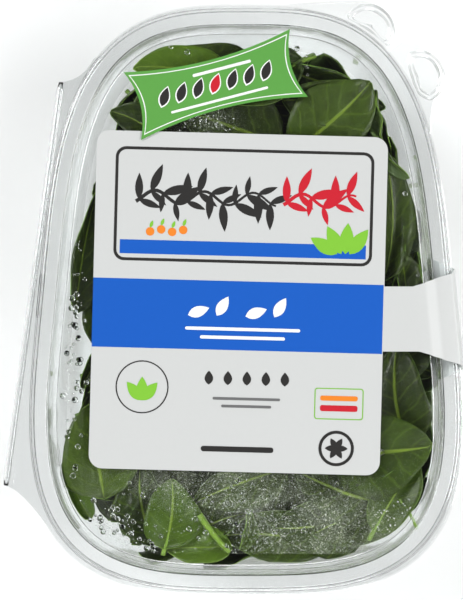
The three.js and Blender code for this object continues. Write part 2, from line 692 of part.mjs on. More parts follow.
// Leaves that lean against the wall, all round, in two rows.
function sideLeaves(random) {
  const rows = [
    { z: 19, start: 0 },
    { z: 43, start: 0.5 },
  ];
  return rows.flatMap(({ z: rowZ, start }) =>
    stationsRound(WALL_LEAVES, start).map(({ turn, point, normal }) => {
      const lean = (WALL_DRAFT * (TRAY_LIP_Z - rowZ)) / TRAY_LIP_Z + 5.5 + random() * 2 + heapGap(turn);
      const spot = point.clone().addScaledVector(normal, -lean);
      const facing = Math.atan2(normal.y, normal.x) / DEG;
      const leaf = leafSolid(randomForm(random), random)
        .rotate([0, 0, random() * 360])
        .rotate([0, 80 + random() * 12, 0])
        .rotate([0, 0, facing])
        .translate([spot.x, Math.max(spot.y, STAND_FACE_Y + lean), rowZ + (random() - 0.5) * 8]);
      return { leaf, inwards: new THREE.Vector3(-normal.x, -normal.y, 0) };
    }),
  );
}

// Leaves that lie on the tray's floor, in a ring.
function floorLeaves(random) {
  return Array.from({ length: FLOOR_LEAVES }, (_, k) => {
    const turn = ((k + random() * 0.4) / FLOOR_LEAVES) * 2 * Math.PI;
    const leaf = leafSolid(randomForm(random), random)
      .rotate([180 + (random() - 0.5) * 24, (random() - 0.5) * 20, random() * 360])
      .translate([Math.cos(turn) * BODY_HALF_WIDTH * 0.6, Math.sin(turn) * BODY_HALF_LENGTH * 0.6, 7.5]);
    return { leaf, inwards: new THREE.Vector3(0, 0, 1) };
  });
}

// Adds a leaf to the heap, moved in until it touches.
function pressedOnto(heap, { leaf, inwards }) {
  let pressed = leaf;
  for (let step = 0; step < PRESS_LIMIT && heap.intersect(pressed).volume() < PRESS_OVERLAP; step++)
    pressed = pressed.translate(inwards.clone().multiplyScalar(PRESS_STEP).toArray());
  return heap.add(pressed);
}

function largestPiece(solid) {
  return solid.decompose().reduce((best, piece) => (piece.volume() > best.volume() ? piece : best));
}

function makeHeap() {
  const random = randomFrom(HEAP_SEED);
  const leaves = [...topLeaves(random), ...sideLeaves(random), ...floorLeaves(random)];
  const fused = leaves.reduce(pressedOnto, heapCore());
  return largestPiece(fused.intersect(heapRoom()));
}

// Scene graph

const CLEAR_PET = new THREE.MeshStandardMaterial({
  color: 0xeef2f0,
  roughness: 0.06,
  metalness: 0,
  transparent: true,
  opacity: 0.22,
});
const LABEL_PAPER = new THREE.MeshStandardMaterial({ color: 0xdde1e1, roughness: 0.42, metalness: 0 });
const STICKER_FILM = new THREE.MeshStandardMaterial({ color: 0x62bf50, roughness: 0.32, metalness: 0 });
const SPINACH = new THREE.MeshStandardMaterial({ color: 0x3f6226, roughness: 0.5, metalness: 0 });

const pack = new THREE.Group();

function addPart(name, solid, material) {
  const mesh = new THREE.Mesh(geometryOf(solid), material);
  mesh.name = name;
  pack.add(mesh);
}

addPart("tray", makeTray(), CLEAR_PET);
addPart("lid", makeLid(), CLEAR_PET);
addPart("label", makeLabel(), LABEL_PAPER);
addPart("sticker", makeSticker(), STICKER_FILM);
addPart("spinach_leaves", makeHeap(), SPINACH);

export default pack;
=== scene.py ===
"""A shut clear clamshell of baby spinach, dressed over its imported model.

The pack lies on its floor with the lid up, as a shopper sees it from above. Sizes are in millimetres in the
CAD's frame, where +Y points to the narrow end and the hinge is on the -X side. A mesh becomes metres when it
is made.
"""

import logging
import math
import random
from collections.abc import Callable, Iterable, Sequence
from dataclasses import dataclass, field
from enum import Enum

import bmesh
import bpy
from mathutils import Euler, Matrix, Vector
from mathutils import noise as lattice

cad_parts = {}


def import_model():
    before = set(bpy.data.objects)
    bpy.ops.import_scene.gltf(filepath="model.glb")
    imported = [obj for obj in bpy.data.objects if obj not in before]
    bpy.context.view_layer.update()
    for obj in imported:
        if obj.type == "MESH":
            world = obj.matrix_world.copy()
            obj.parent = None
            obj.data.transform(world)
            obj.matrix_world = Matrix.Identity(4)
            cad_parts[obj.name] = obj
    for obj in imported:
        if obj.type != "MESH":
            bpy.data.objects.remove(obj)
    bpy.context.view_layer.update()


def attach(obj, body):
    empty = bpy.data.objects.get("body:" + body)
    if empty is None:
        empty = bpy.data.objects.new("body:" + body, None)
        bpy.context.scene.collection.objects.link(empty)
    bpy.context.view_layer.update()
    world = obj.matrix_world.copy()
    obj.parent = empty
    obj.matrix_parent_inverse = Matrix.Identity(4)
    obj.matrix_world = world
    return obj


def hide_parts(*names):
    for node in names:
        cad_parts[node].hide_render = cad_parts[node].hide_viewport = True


LOG = logging.getLogger("clamshell")
MM = 0.001
Flat = tuple[float, float]
Colour = tuple[float, float, float, float]
Socket = bpy.types.NodeSocket
WALL_TOP_Z = 61.6  # where the tray's wall meets its rim
WALL_DRAFT = 4.4  # how far the wall leans in from there down to the floor


def wall_lean(z: float) -> float:
    """Give how far in from its top the tray's wall is at a height."""
    return WALL_DRAFT * max(0.0, WALL_TOP_Z - z) / WALL_TOP_Z


# Colour and nodes


def linear(code: str) -> Colour:
    """Turn an sRGB hex colour into linear red, green, blue and alpha.

    Args:
        code: six hex digits, with or without the leading mark.

    Returns:
        The linear colour that a shader socket takes.
    """
    digits = code.lstrip("#")
    shares = [int(digits[i : i + 2], 16) / 255 for i in (0, 2, 4)]
    red, green, blue = (s / 12.92 if s <= 0.04045 else ((s + 0.055) / 1.055) ** 2.4 for s in shares)
    return (red, green, blue, 1.0)


def add_node(
    tree: bpy.types.NodeTree, kind: str, inputs: dict | None = None, **settings: object
) -> bpy.types.NodeOutputs:
    """Add a node with its settings and inputs.

    Args:
        tree: the node tree that takes it.
        kind: the node's type name, without its first word.
        inputs: input name or number to its value, or to the output that feeds it.
        settings: the node's own properties.

    Returns:
        The new node's outputs.
    """
    node = tree.nodes.new("ShaderNode" + kind)
    for name, value in settings.items():
        setattr(node, name, value)
    for key, value in (inputs or {}).items():
        if isinstance(value, Socket):
            tree.links.new(value, node.inputs[key])
        else:
            node.inputs[key].default_value = value
    return node.outputs


def add_math(
    tree: bpy.types.NodeTree, operation: str, *terms: Socket | float, use_clamp: bool = False
) -> Socket:
    """Add a sum of outputs and numbers.

    Args:
        tree: the node tree that takes it.
        operation: the operation's name.
        terms: what it works on, in order.
        use_clamp: whether the result is kept from 0 to 1.

    Returns:
        The output with the result.
    """
    return add_node(tree, "Math", dict(enumerate(terms)), operation=operation, use_clamp=use_clamp)[0]


def add_noise(
    tree: bpy.types.NodeTree, place: Socket, pitch_mm: float, detail: float, roughness: float = 0.5
) -> Socket:
    """Add a cloudy noise.

    Args:
        tree: the node tree that takes it.
        place: the output with places on the piece.
        pitch_mm: how far apart its clouds are.
        detail: how many finer layers it has.
        roughness: how strong the finer layers are.

    Returns:
        The output with the noise.
    """
    inputs = {"Scale": 1 / (pitch_mm * MM), "Detail": detail, "Roughness": roughness, "Vector": place}
    return add_node(tree, "TexNoise", inputs)["Fac"]


def add_range(tree: bpy.types.NodeTree, source: Socket, given: Flat, wanted: Flat) -> Socket:
    """Add a smooth step from one range of values to another.

    Args:
        tree: the node tree that takes it.
        source: the output with the values.
        given: the range's ends as they come in.
        wanted: what these ends become.

    Returns:
        The output with the new values.
    """
    limits = dict(zip(("From Min", "From Max", "To Min", "To Max"), (*given, *wanted)))
    return add_node(tree, "MapRange", {"Value": source, **limits}, interpolation_type="SMOOTHSTEP")[0]


def add_bump(tree: bpy.types.NodeTree, height: Socket, strength: float, lift_mm: float) -> Socket:
    """Add a bump.

    Args:
        tree: the node tree that takes it.
        height: the output with the relief, from 0 to 1.
        strength: how much of it shows.
        lift_mm: how high 1 is.

    Returns:
        The output with the normal.
    """
    return add_node(tree, "Bump", {"Strength": strength, "Distance": lift_mm * MM, "Height": height})["Normal"]


def add_tint(
    tree: bpy.types.NodeTree, share: Socket, plain: Socket | Colour, tinted: Socket | Colour
) -> Socket:
    """Add a mix of two colours.

    Args:
        tree: the node tree that takes it.
        share: the output that says how much of the second colour there is.
        plain: the first colour.
        tinted: the second colour.

    Returns:
        The output with the mixed colour.
    """
    return add_node(tree, "Mix", {0: share, 6: plain, 7: tinted}, data_type="RGBA")[2]


def add_open_way(tree: bpy.types.NodeTree, shader: Socket, tint: str) -> Socket:
    """Let the lamps' rays through a clear finish, so that what is behind it is lit.

    Args:
        tree: the node tree that takes it.
        shader: the output with the shader that the eye sees.
        tint: the hex colour that the light takes on.

    Returns:
        The output with both.
    """
    open_way = add_node(tree, "BsdfTransparent", {"Color": linear(tint)})[0]
    shadow_ray = add_node(tree, "LightPath")["Is Shadow Ray"]
    return add_node(tree, "MixShader", {0: shadow_ray, 1: shader, 2: open_way})[0]


# Finishes


@dataclass(frozen=True)
class Finish:
    """A named finish, whose shader each kind builds."""

    name: str

    def shader(self, tree: bpy.types.NodeTree) -> Socket:
        """Build the shader and give its output."""
        raise NotImplementedError

    def make(self) -> bpy.types.Material:
        """Build the material.

        Returns:
            The material.
        """
        material = bpy.data.materials.new(self.name)
        material.use_nodes = True
        tree = material.node_tree
        tree.nodes.clear()
        add_node(tree, "OutputMaterial", {"Surface": self.shader(tree)})
        return material


@dataclass(frozen=True)
class ClearPet(Finish):
    """Amorphous PET sheet, thermoformed: water clear, glossy, a little wavy where it was drawn thin."""

    name: str = "thermoformed_pet"
    tint: str = "F7F8F8"
    shadow_tint: str = "F8F9F9"
    roughness: float = 0.035
    ior: float = 1.57
    ripple_mm: float = 9.0  # the slow ripple that a drawn sheet keeps
    ripple_lift_mm: float = 0.12

    def shader(self, tree: bpy.types.NodeTree) -> Socket:
        """Build the shader: refracting for the eye, open to the lamps' rays so that the leaves are lit.

        Args:
            tree: the material's node tree.

        Returns:
            The output with the shader.
        """
        ripple = add_noise(tree, add_node(tree, "TexCoord")["Object"], self.ripple_mm, 1.0)
        sheet = {
            "Base Color": linear(self.tint),
            "Roughness": self.roughness,
            "IOR": self.ior,
            "Transmission Weight": 1.0,
            "Normal": add_bump(tree, ripple, 0.2, self.ripple_lift_mm),
        }
        return add_open_way(tree, add_node(tree, "BsdfPrincipled", sheet)[0], self.shadow_tint)


@dataclass(frozen=True)
class CoatedPaper(Finish):
    """Clay-coated label paper, calendered: smooth and satin, with a faint fibre unevenness."""

    colour: str
    roughness: float = 0.42
    fibre_mm: float = 1.6  # real fibres are 0.03 mm wide, so this is their cloudiness, drawn to show
    cloud: float = 0.03

    def shader(self, tree: bpy.types.NodeTree) -> Socket:
        """Build the shader with cloudy tone and a very low bump.

        Args:
            tree: the material's node tree.

        Returns:
            The output with the shader.
        """
        fibre = add_noise(tree, add_node(tree, "TexCoord")["Object"], self.fibre_mm, 4.0, 0.6)
        red, green, blue, _ = linear(self.colour)
        dim = 1 - self.cloud
        sheet = {
            "Roughness": self.roughness,
            "IOR": 1.5,
            "Base Color": add_tint(tree, fibre, (red * dim, green * dim, blue * dim, 1), (red, green, blue, 1)),
            "Normal": add_bump(tree, fibre, 0.12, 0.05),
        }
        return add_node(tree, "BsdfPrincipled", sheet)[0]


@dataclass(frozen=True)
class LeafSkin(Finish):
    """Living leaf with a thin waxy cuticle: satin green, paler along the veins, puckered between them."""

    deep: str
    bright: str
    vein: str
    vein_share: float = 0.5
    roughness: float = 0.46
    side_veins: float = 6.0
    mottle_mm: float = 8.0
    net_mm: float = 3.0  # real veinlets are about 1 mm apart, drawn coarser so that they show
    pucker_mm: float = 2.2
    pucker_lift_mm: float = 0.5
    aged: str = "3F4F18"
    aged_share: float = 0.32
    wet_ior: float = 1.33  # the leaves are washed, and a film of water softens the cuticle's sheen

    def add_veins(self, tree: bpy.types.NodeTree, place: Socket) -> Socket:
        """Add the midrib, the side veins that sweep forward from it, and the net between them.

        Args:
            tree: the material's node tree.
            place: the output with places on the piece.

        Returns:
            The output that rises to 1 on a vein.
        """
        blade = add_node(tree, "SeparateXYZ", {0: add_node(tree, "UVMap", uv_map="blade")[0]})
        across = add_math(tree, "ABSOLUTE", add_math(tree, "MULTIPLY_ADD", blade["Y"], 2.0, -1.0))
        swept = add_math(tree, "MULTIPLY", across, -1.5)
        along = add_math(tree, "MULTIPLY_ADD", blade["X"], self.side_veins, swept)
        strayed = add_math(tree, "MULTIPLY_ADD", add_noise(tree, place, self.mottle_mm, 2.0), 0.9, along)
        wave = add_math(tree, "PINGPONG", strayed, 0.5)
        cells = {"Scale": 1 / (self.net_mm * MM), "Vector": place}
        net = add_node(tree, "TexVoronoi", cells, feature="DISTANCE_TO_EDGE")["Distance"]
        veins = None
        for source, narrow, wide, share in (
            (across, 0.015, 0.07, 1.0),
            (wave, 0.02, 0.12, 0.22),
            (net, 0.0, 0.14, 0.08),
        ):
            line = add_range(tree, source, (narrow, wide), (share, 0.0))
            veins = add_math(tree, "MAXIMUM", veins, line) if veins else line
        return veins

    def add_flesh(self, tree: bpy.types.NodeTree, place: Socket) -> Socket:
        """Add the flesh, mottled from deep to bright by each leaf's tone, which also holds painted light and
        shade, and duller on older leaves.

        Args:
            tree: the material's node tree.
            place: the output with places on the piece.

        Returns:
            The output with the colour.
        """
        tone = add_node(tree, "SeparateColor", {0: add_node(tree, "VertexColor", layer_name="tone")[0]})
        shade = add_math(tree, "MULTIPLY_ADD", add_noise(tree, place, self.mottle_mm, 3.0), 0.6, tone[0])
        low = add_math(tree, "SUBTRACT", shade, 0.28, use_clamp=True)
        fresh = add_tint(tree, low, linear(self.deep), linear(self.bright))
        return add_tint(tree, add_math(tree, "MULTIPLY", tone[1], self.aged_share), fresh, linear(self.aged))

    def shader(self, tree: bpy.types.NodeTree) -> Socket:
        """Build the shader from the blade's own coordinates and each leaf's tone.

        Args:
            tree: the material's node tree.

        Returns:
            The output with the shader.
        """
        place = add_node(tree, "TexCoord")["Object"]
        veins, flesh = self.add_veins(tree, place), self.add_flesh(tree, place)
        share = add_math(tree, "MULTIPLY", veins, self.vein_share)
        relief = add_math(tree, "MULTIPLY_ADD", veins, -0.7, add_noise(tree, place, self.pucker_mm, 1.5))
        skin = {
            "Roughness": self.roughness,
            "IOR": self.wet_ior,
            "Base Color": add_tint(tree, share, flesh, linear(self.vein)),
            "Normal": add_bump(tree, relief, 0.38, self.pucker_lift_mm),
        }
        return add_node(tree, "BsdfPrincipled", skin)[0]


@dataclass(frozen=True)
class MistFilm(Finish):
    """Breath-fine condensation on PET: beads under 0.3 mm, a grey-green bloom of light dots with clear gaps."""

    name: str = "breath_fine_mist"
    tint: str = "B9C1AA"
    bead_mm: float = 1.0  # real beads are near 0.2 mm apart, drawn coarser so that they show
    patch_mm: float = 13.0
    cover: float = 0.42

    def shader(self, tree: bpy.types.NodeTree) -> Socket:
        """Build the shader: matte scatter, let through where the mist is thin or a bead is missing.

        Args:
            tree: the material's node tree.

        Returns:
            The output with the shader.
        """
        place = add_node(tree, "TexCoord")["Object"]
        cells = {"Scale": 1 / (self.bead_mm * MM), "Vector": place}
        beads = add_node(tree, "TexVoronoi", cells, feature="F1")["Distance"]
        dots = add_range(tree, beads, (0.16, 0.44), (1.0, 0.24))
        patch = add_range(tree, add_noise(tree, place, self.patch_mm, 2.0), (0.36, 0.6), (0.35, 1.0))
        thick = add_node(tree, "SeparateColor", {0: add_node(tree, "VertexColor", layer_name="tone")[0]})[0]
        share = add_math(tree, "MULTIPLY", add_math(tree, "MULTIPLY", dots, patch), thick)
        film = {
            "Base Color": linear(self.tint),
            "Roughness": 0.6,
            "IOR": 1.33,
            "Alpha": add_math(tree, "MULTIPLY", share, self.cover),
        }
        return add_node(tree, "BsdfPrincipled", film)[0]


@dataclass(frozen=True)
class WaterBead(Finish):
    """Condensed water: clear beads, and where they are finer than the eye parts, a milky scatter."""

    clearness: float
    roughness: float = 0.02

    def shader(self, tree: bpy.types.NodeTree) -> Socket:
        """Build the shader: refracting, partly milky, open to the lamps' rays.

        Args:
            tree: the material's node tree.

        Returns:
            The output with the shader.
        """
        bead = {
            "Base Color": linear("F7FAF8"),
            "Roughness": self.roughness,
            "IOR": 1.33,
            "Transmission Weight": self.clearness,
        }
        return add_open_way(tree, add_node(tree, "BsdfPrincipled", bead)[0], "FFFFFF")


# Meshes


def add_object(name: str, data: bpy.types.ID) -> bpy.types.Object:
    """Make an object of a mesh, lamp or camera and link it to the scene.

    Args:
        name: the object's name.
        data: its mesh, lamp or camera.

    Returns:
        The object.
    """
    thing = bpy.data.objects.new(name, data)
    bpy.context.scene.collection.objects.link(thing)
    return thing


class MeshDraft:
    """Points and faces of one piece, in millimetres, on their way to a Blender mesh."""

    def __init__(self) -> None:
        """Start empty."""
        self.points: list[Vector] = []
        self.faces: list[tuple[int, ...]] = []
        self.finishes: list[int] = []
        self.blade: list[Flat] = []
        self.tones: list[Flat] = []

    def add_points(
        self, points: Iterable[Vector], blade: Sequence[Flat] | None = None, tone: Flat = (0.5, 0.5)
    ) -> int:
        """Add points and give the number of the first.

        Args:
            points: the new points.
            blade: each point's place along and across its leaf, where it is on one.
            tone: the tone pair that all of them share.

        Returns:
            The first new point's number.
        """
        first = len(self.points)
        self.points.extend(points)
        count = len(self.points) - first
        self.blade.extend(blade or [(0.5, 0.75)] * count)
        self.tones.extend([tone] * count)
        return first

    def add_face(self, corners: Sequence[int], finish: int = 0) -> None:
        """Add one face by its point numbers."""
        self.faces.append(tuple(corners))
        self.finishes.append(finish)

    def add_rows(
        self, first: int, rows: int, count: int, closed: bool = False, finish: int = 0, flip: bool = False
    ) -> None:
        """Join rows of points, already added one after another, with four-sided faces.

        Args:
            first: number of the first point of the first row.
            rows: how many rows.
            count: points in a row.
            closed: whether each row runs round and meets itself.
            finish: material number.
            flip: whether the faces turn the other way.
        """
        for r in range(rows - 1):
            for i in range(count if closed else count - 1):
                a = first + r * count + i
                b = first + r * count + (i + 1) % count
                corners = (a, b, b + count, a + count)
                self.add_face(corners[::-1] if flip else corners, finish)

    def add_shell(
        self, rings: Sequence[Sequence[Vector]], finish: int = 0, tone: Flat = (0.5, 0.5), fans: bool = False
    ) -> None:
        """Add a closed shell through rings with as many points as each other.

        Args:
            rings: its rings in order.
            finish: material number.
            tone: the tone pair that its points share.
            fans: whether faces to a new middle point close each end, in place of one face.
        """
        count = len(rings[0])
        first = self.add_points((p for ring in rings for p in ring), None, tone)
        self.add_rows(first, len(rings), count, closed=True, finish=finish)
        for end in (first, first + (len(rings) - 1) * count):
            if fans:
                middle = self.add_points([sum(self.points[end : end + count], Vector()) / count], None, tone)
                for i in range(count):
                    self.add_face((end + i, end + (i + 1) % count, middle), finish)
            else:
                self.add_face(range(end, end + count), finish)

    def add_hoop(self, rings: Sequence[Sequence[Vector]]) -> None:
        """Add a closed band through rings, the last of which meets the first.

        Args:
            rings: its rings in order, with as many points as each other.
        """
        count = len(rings[0])
        first = self.add_points(p for ring in rings for p in ring)
        for r in range(len(rings)):
            here, after = first + r * count, first + (r + 1) % len(rings) * count
            for i in range(count):
                k = (i + 1) % count
                self.add_face((here + i, here + k, after + k, after + i))

    def add_prism(self, outline: Sequence[Flat], low: float, high: float) -> None:
        """Add a flat plate with a plain outline.

        Args:
            outline: its corners, anticlockwise.
            low: underside height.
            high: upper side height.
        """
        count = len(outline)
        first = self.add_points([Vector((x, y, z)) for z in (low, high) for x, y in outline])
        self.add_rows(first, 2, count, closed=True)
        self.add_face(range(first + count - 1, first - 1, -1))
        self.add_face(range(first + count, first + 2 * count))

    def add_band(self, outer: Sequence[Flat], inner: Sequence[Flat], low: float, high: float) -> None:
        """Add a flat ring between two outlines with as many corners as each other.

        Args:
            outer: outer outline, anticlockwise.
            inner: inner outline, anticlockwise.
            low: underside height.
            high: upper side height.
        """
        loops = ((outer, low), (outer, high), (inner, high), (inner, low))
        self.add_hoop([[Vector((x, y, z)) for x, y in loop] for loop, z in loops])

    def make(
        self, name: str, materials: Sequence[bpy.types.Material], smooth: bool = True, closed: bool = True
    ) -> bpy.types.Object:
        """Make the Blender object.

        Args:
            name: the piece's name.
            materials: its finishes, in the order of the faces' numbers.
            smooth: whether faces shade smoothly.
            closed: whether the shells are closed, so that their normals can be turned outwards.

        Returns:
            The object, linked to the scene.
        """
        mesh = bpy.data.meshes.new(name)
        mesh.from_pydata([p * MM for p in self.points], [], self.faces)
        for material in materials:
            mesh.materials.append(material)
        mesh.polygons.foreach_set("material_index", self.finishes)
        mesh.polygons.foreach_set("use_smooth", [smooth] * len(self.faces))
        corners = [0] * len(mesh.loops)
        mesh.loops.foreach_get("vertex_index", corners)
        layer = mesh.uv_layers.new(name="blade")
        layer.data.foreach_set("uv", [share for i in corners for share in self.blade[i]])
        tone = mesh.color_attributes.new("tone", "FLOAT_COLOR", "POINT")
        tone.data.foreach_set("color", [share for a, b in self.tones for share in (a, b, 0.0, 1.0)])
        if closed:
            work = bmesh.new()
            work.from_mesh(mesh)
            bmesh.ops.recalc_face_normals(work, faces=work.faces)
            work.to_mesh(mesh)
            work.free()
        mesh.update()
        return add_object(name, mesh)


def mount(piece: bpy.types.Object, replaces: str | None = None) -> bpy.types.Object:
    """Fix a piece to the pack's one body.

    Args:
        piece: the finished object.
        replaces: the CAD node that it stands for.

    Returns:
        The same object.
    """
    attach(piece, "root")
    if replaces:
        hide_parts(replaces)
    LOG.info("piece %s: %d faces", piece.name, len(piece.data.polygons))
    return piece


# Body outline


@dataclass(frozen=True)
class OutlineStation:
    """A place on the body outline, its outward normal, and how far round it is."""

    turn: float
    point: Vector
    normal: Vector


@dataclass
class BodyOutline:
    """The pack's outline seen from above, at the inner edge of the rim."""

    half_length: float = 110.5
    half_width: float = 76.3
    taper: float = -10.4
    bulge: float = 4.0
    squareness: float = 3.2
    stand_face_y: float = -107.2  # flat end on which the pack stands in a shop
    soft_edge: float = 1.2
    corner_reach: float = 60.0
    lip_end_swell: float = 0.6
    lip_corner_swell: float = 0.9
    dense: list[OutlineStation] = field(default_factory=list)

    def __post_init__(self) -> None:
        """Measure the outline once, finely."""
        fine = 2880
        spots = [self.spot(2 * math.pi * i / fine) for i in range(fine)]
        for i, point in enumerate(spots):
            run = (spots[(i + 1) % fine] - spots[i - 1]).normalized()
            self.dense.append(OutlineStation(2 * math.pi * i / fine, point, Vector((run.y, -run.x))))

    def spot(self, turn: float) -> Vector:
        """Give the point of the outline at a turn, in radians from +X.

        Args:
            turn: how far round from +X, in radians.

        Returns:
            The point.
        """
        power = 2 / self.squareness
        s, c = math.sin(turn), math.cos(turn)
        along = math.copysign(abs(s) ** power, s)
        return Vector(
            (self.width_share(along) * math.copysign(abs(c) ** power, c), self.half_length * along)
        )

    def width_share(self, along: float) -> float:
        """Give the half width at a share of the half length, from -1 to 1."""
        return self.half_width + self.taper * along + self.bulge * along * along

    def turn_at(self, x: float, y: float) -> float:
        """Give the turn whose ray from the middle passes through a point.

        Args:
            x: place across.
            y: place along.

        Returns:
            The turn in radians.
        """
        power = self.squareness / 2
        along = max(-1.0, min(1.0, y / self.half_length))
        s = math.copysign(abs(along) ** power, along)
        across = x / self.width_share(along)
        return math.atan2(s, math.copysign(abs(across) ** power, across))

    def half_width_at(self, y: float, offset: float = 0.0) -> float:
        """Give the half width at a height on the page, with the outline moved out by an offset.

        Args:
            y: place along.
            offset: how far the outline is moved out.

        Returns:
            The half width.
        """
        along = y / (self.half_length + offset)
        inside = max(0.0, 1 - abs(along) ** self.squareness)
        return (self.width_share(along) + offset) * inside ** (1 / self.squareness)

    def held_inside(self, x: float, y: float, offset: float, end_offset: float | None = None) -> Flat:
        """Pull a point straight towards the middle until it is inside the outline moved by an offset.

        Args:
            x: place across.
            y: place along.
            offset: how far the outline is moved out.
            end_offset: how far the flat end is moved out, where that differs.

        Returns:
            The place, pulled in where it has to be.
        """
        along = y / (self.half_length + offset)
        across = x / (self.width_share(max(-1.0, min(1.0, along))) + offset)
        out = abs(along) ** self.squareness + abs(across) ** self.squareness
        pull = out ** (-1 / self.squareness) if out > 1 else 1.0
        return x * pull, max(y * pull, self.stand_face_y - (offset if end_offset is None else end_offset))

    def nearest_turn(self, x: float, y: float) -> int:
        """Give the number of the fine station nearest to a point."""
        spot = Vector((x, y))
        return min(range(len(self.dense)), key=lambda i: (self.dense[i].point - spot).length_squared)

    def stations(self, count: int, through: Iterable[Flat] = ()) -> list[OutlineStation]:
        """Choose stations, closer where the outline turns more.

        Args:
            count: how many evenly spread ones.
            through: points whose nearest stations are taken as well.

        Returns:
            The stations in order round the outline.
        """
        travel = [0.0]
        fine = len(self.dense)
        for i, station in enumerate(self.dense):
            after = self.dense[(i + 1) % fine]
            bend = station.normal.angle(after.normal, 0.0)
            travel.append(travel[-1] + (after.point - station.point).length + self.corner_reach * bend)
        chosen, i = set(), 0
        for k in range(count):
            while travel[i + 1] < k / count * travel[-1]:
                i += 1
            chosen.add(i)
        for x, y in through:
            near = self.nearest_turn(x, y)
            chosen -= {near - 1, near + 1}
            chosen.add(near)
        return [self.dense[i] for i in sorted(chosen)]

    def lip_swell(self, turn: float) -> float:
        """Give the lip's extra width, more round the corners of the wide end.

        Args:
            turn: how far round from +X, in radians.

        Returns:
            The extra width.
        """
        corner = math.sin(2 * turn) ** 2
        end = math.sin(turn)
        return self.lip_end_swell * end * end + self.lip_corner_swell * corner * (0.4 - 1.3 * end)

    def ring_point(self, station: OutlineStation, offset: float, z: float, flat: float = 0.0) -> Vector:
        """Give one point of the outline moved out by an offset.

        Args:
            station: the place round the outline.
            offset: how far out.
            z: height.
            flat: how much of the flat end this level has, from 0 to 1.

        Returns:
            The point.
        """
        spot = station.point + station.normal * offset
        limit = self.stand_face_y - offset
        past = spot.y - limit
        softened = limit + 0.5 * (past + math.hypot(past, self.soft_edge))
        return Vector((spot.x, spot.y + flat * (softened - spot.y), z))


# Formed sheets


@dataclass(frozen=True)
class Bend:
    """A corner of a sheet's profile: offset from the outline, height, rounding, and how flat-ended it is."""

    offset: float
    z: float
    radius: float = 0.0
    flat: float = 0.0


def rounded_profile(bends: Sequence[Bend], arc_steps: int = 4, longest: float = 9.0) -> list[Bend]:
    """Round a profile's corners and divide its long runs.

    Args:
        bends: the corners in order.
        arc_steps: divisions of each rounding.
        longest: longest undivided run.

    Returns:
        The finer profile.
    """
    def between(a: Bend, b: Bend, share: float) -> Bend:
        """Give a place on the way from one corner to the next."""
        pairs = ((a.offset, b.offset), (a.z, b.z), (0.0, 0.0), (a.flat, b.flat))
        return Bend(*(before * (1 - share) + after * share for before, after in pairs))

    path = [bends[0]]
    for before, here, after in zip(bends, bends[1:], bends[2:]):
        first = Vector((here.offset - before.offset, here.z - before.z))
        second = Vector((after.offset - here.offset, after.z - here.z))
        cut = here.radius * math.tan(first.angle(second, 0.0) / 2)
        cut = min(cut, 0.45 * first.length, 0.45 * second.length)
        if cut < 0.02:
            path.append(here)
            continue
        start = between(here, before, cut / first.length)
        end = between(here, after, cut / second.length)
        for k in range(arc_steps + 1):
            share = k / arc_steps
            path.append(between(between(start, here, share), between(here, end, share), share))
    path.append(bends[-1])
    fine = [path[0]]
    for a, b in zip(path, path[1:]):
        parts = max(1, math.ceil(math.hypot(b.offset - a.offset, b.z - a.z) / longest))
        fine.extend(between(a, b, k / parts) for k in range(1, parts + 1))
    return fine


def curve_through(points: Sequence[Flat], steps: int) -> list[Flat]:
    """Run a centripetal curve through points.

    Args:
        points: the points in order.
        steps: divisions between each two.

    Returns:
        The curve's points.
    """
    knots = [Vector(p) for p in points]
    knots = [2 * knots[0] - knots[1], *knots, 2 * knots[-1] - knots[-2]]
    curve = []
    for p0, p1, p2, p3 in zip(knots, knots[1:], knots[2:], knots[3:]):
        t0 = 0.0
        t1 = t0 + (p1 - p0).length ** 0.5
        t2 = t1 + (p2 - p1).length ** 0.5
        t3 = t2 + (p3 - p2).length ** 0.5
        for k in range(steps):
            t = t1 + (t2 - t1) * k / steps
            a = p0.lerp(p1, (t - t0) / (t1 - t0))
            b = p1.lerp(p2, (t - t1) / (t2 - t1))
            c = p2.lerp(p3, (t - t2) / (t3 - t2))
            d = a.lerp(b, (t - t0) / (t2 - t0))
            e = b.lerp(c, (t - t1) / (t3 - t1))
            curve.append(tuple(d.lerp(e, (t - t1) / (t2 - t1))))
    curve.append(tuple(points[-1]))
    return curve


def pulled_curve(start: Flat, pull: Flat, end: Flat, steps: int) -> list[Flat]:
    """Run a quadratic curve from start to end, drawn towards a pull point; the end point is left out."""
    a, b, c = Vector(start), Vector(pull), Vector(end)
    return [tuple(a.lerp(b, k / steps).lerp(b.lerp(c, k / steps), k / steps)) for k in range(steps)]


def inside_outline(polygon: Sequence[Flat], x: float, y: float) -> bool:
    """Say whether a point is inside a polygon.

    Args:
        polygon: its corners in order.
        x: place across.
        y: place along.

    Returns:
        True if it is inside.
    """
    inside = False
    for (ax, ay), (bx, by) in zip(polygon, [*polygon[1:], polygon[0]]):
        if (ay > y) != (by > y) and x < ax + (y - ay) * (bx - ax) / (by - ay):
            inside = not inside
    return inside


def way_out(polygon: Sequence[Flat], start: Vector, heading: Vector) -> float:
    """Give how far a ray from inside a polygon runs before it leaves it, or 0 from outside.

    Args:
        polygon: its corners in order.
        start: where the ray begins.
        heading: its direction, one long.

    Returns:
        The distance.
    """
    if not inside_outline(polygon, start.x, start.y):
        return 0.0
    farthest = 0.0
    for a, b in zip(polygon, [*polygon[1:], polygon[0]]):
        edge = Vector(b) - Vector(a)
        cross = heading.x * edge.y - heading.y * edge.x
        if abs(cross) < 1e-9:
            continue
        gap = Vector(a) - start
        run = (gap.x * edge.y - gap.y * edge.x) / cross
        share = (gap.x * heading.y - gap.y * heading.x) / cross
        if 0 <= share <= 1 and run > farthest:
            farthest = run
    return farthest


def heading_at(path: Sequence[Vector], i: int) -> Vector:
    """Give the direction of a path at one of its points."""
    return (path[min(i + 1, len(path) - 1)] - path[max(i - 1, 0)]).normalized()


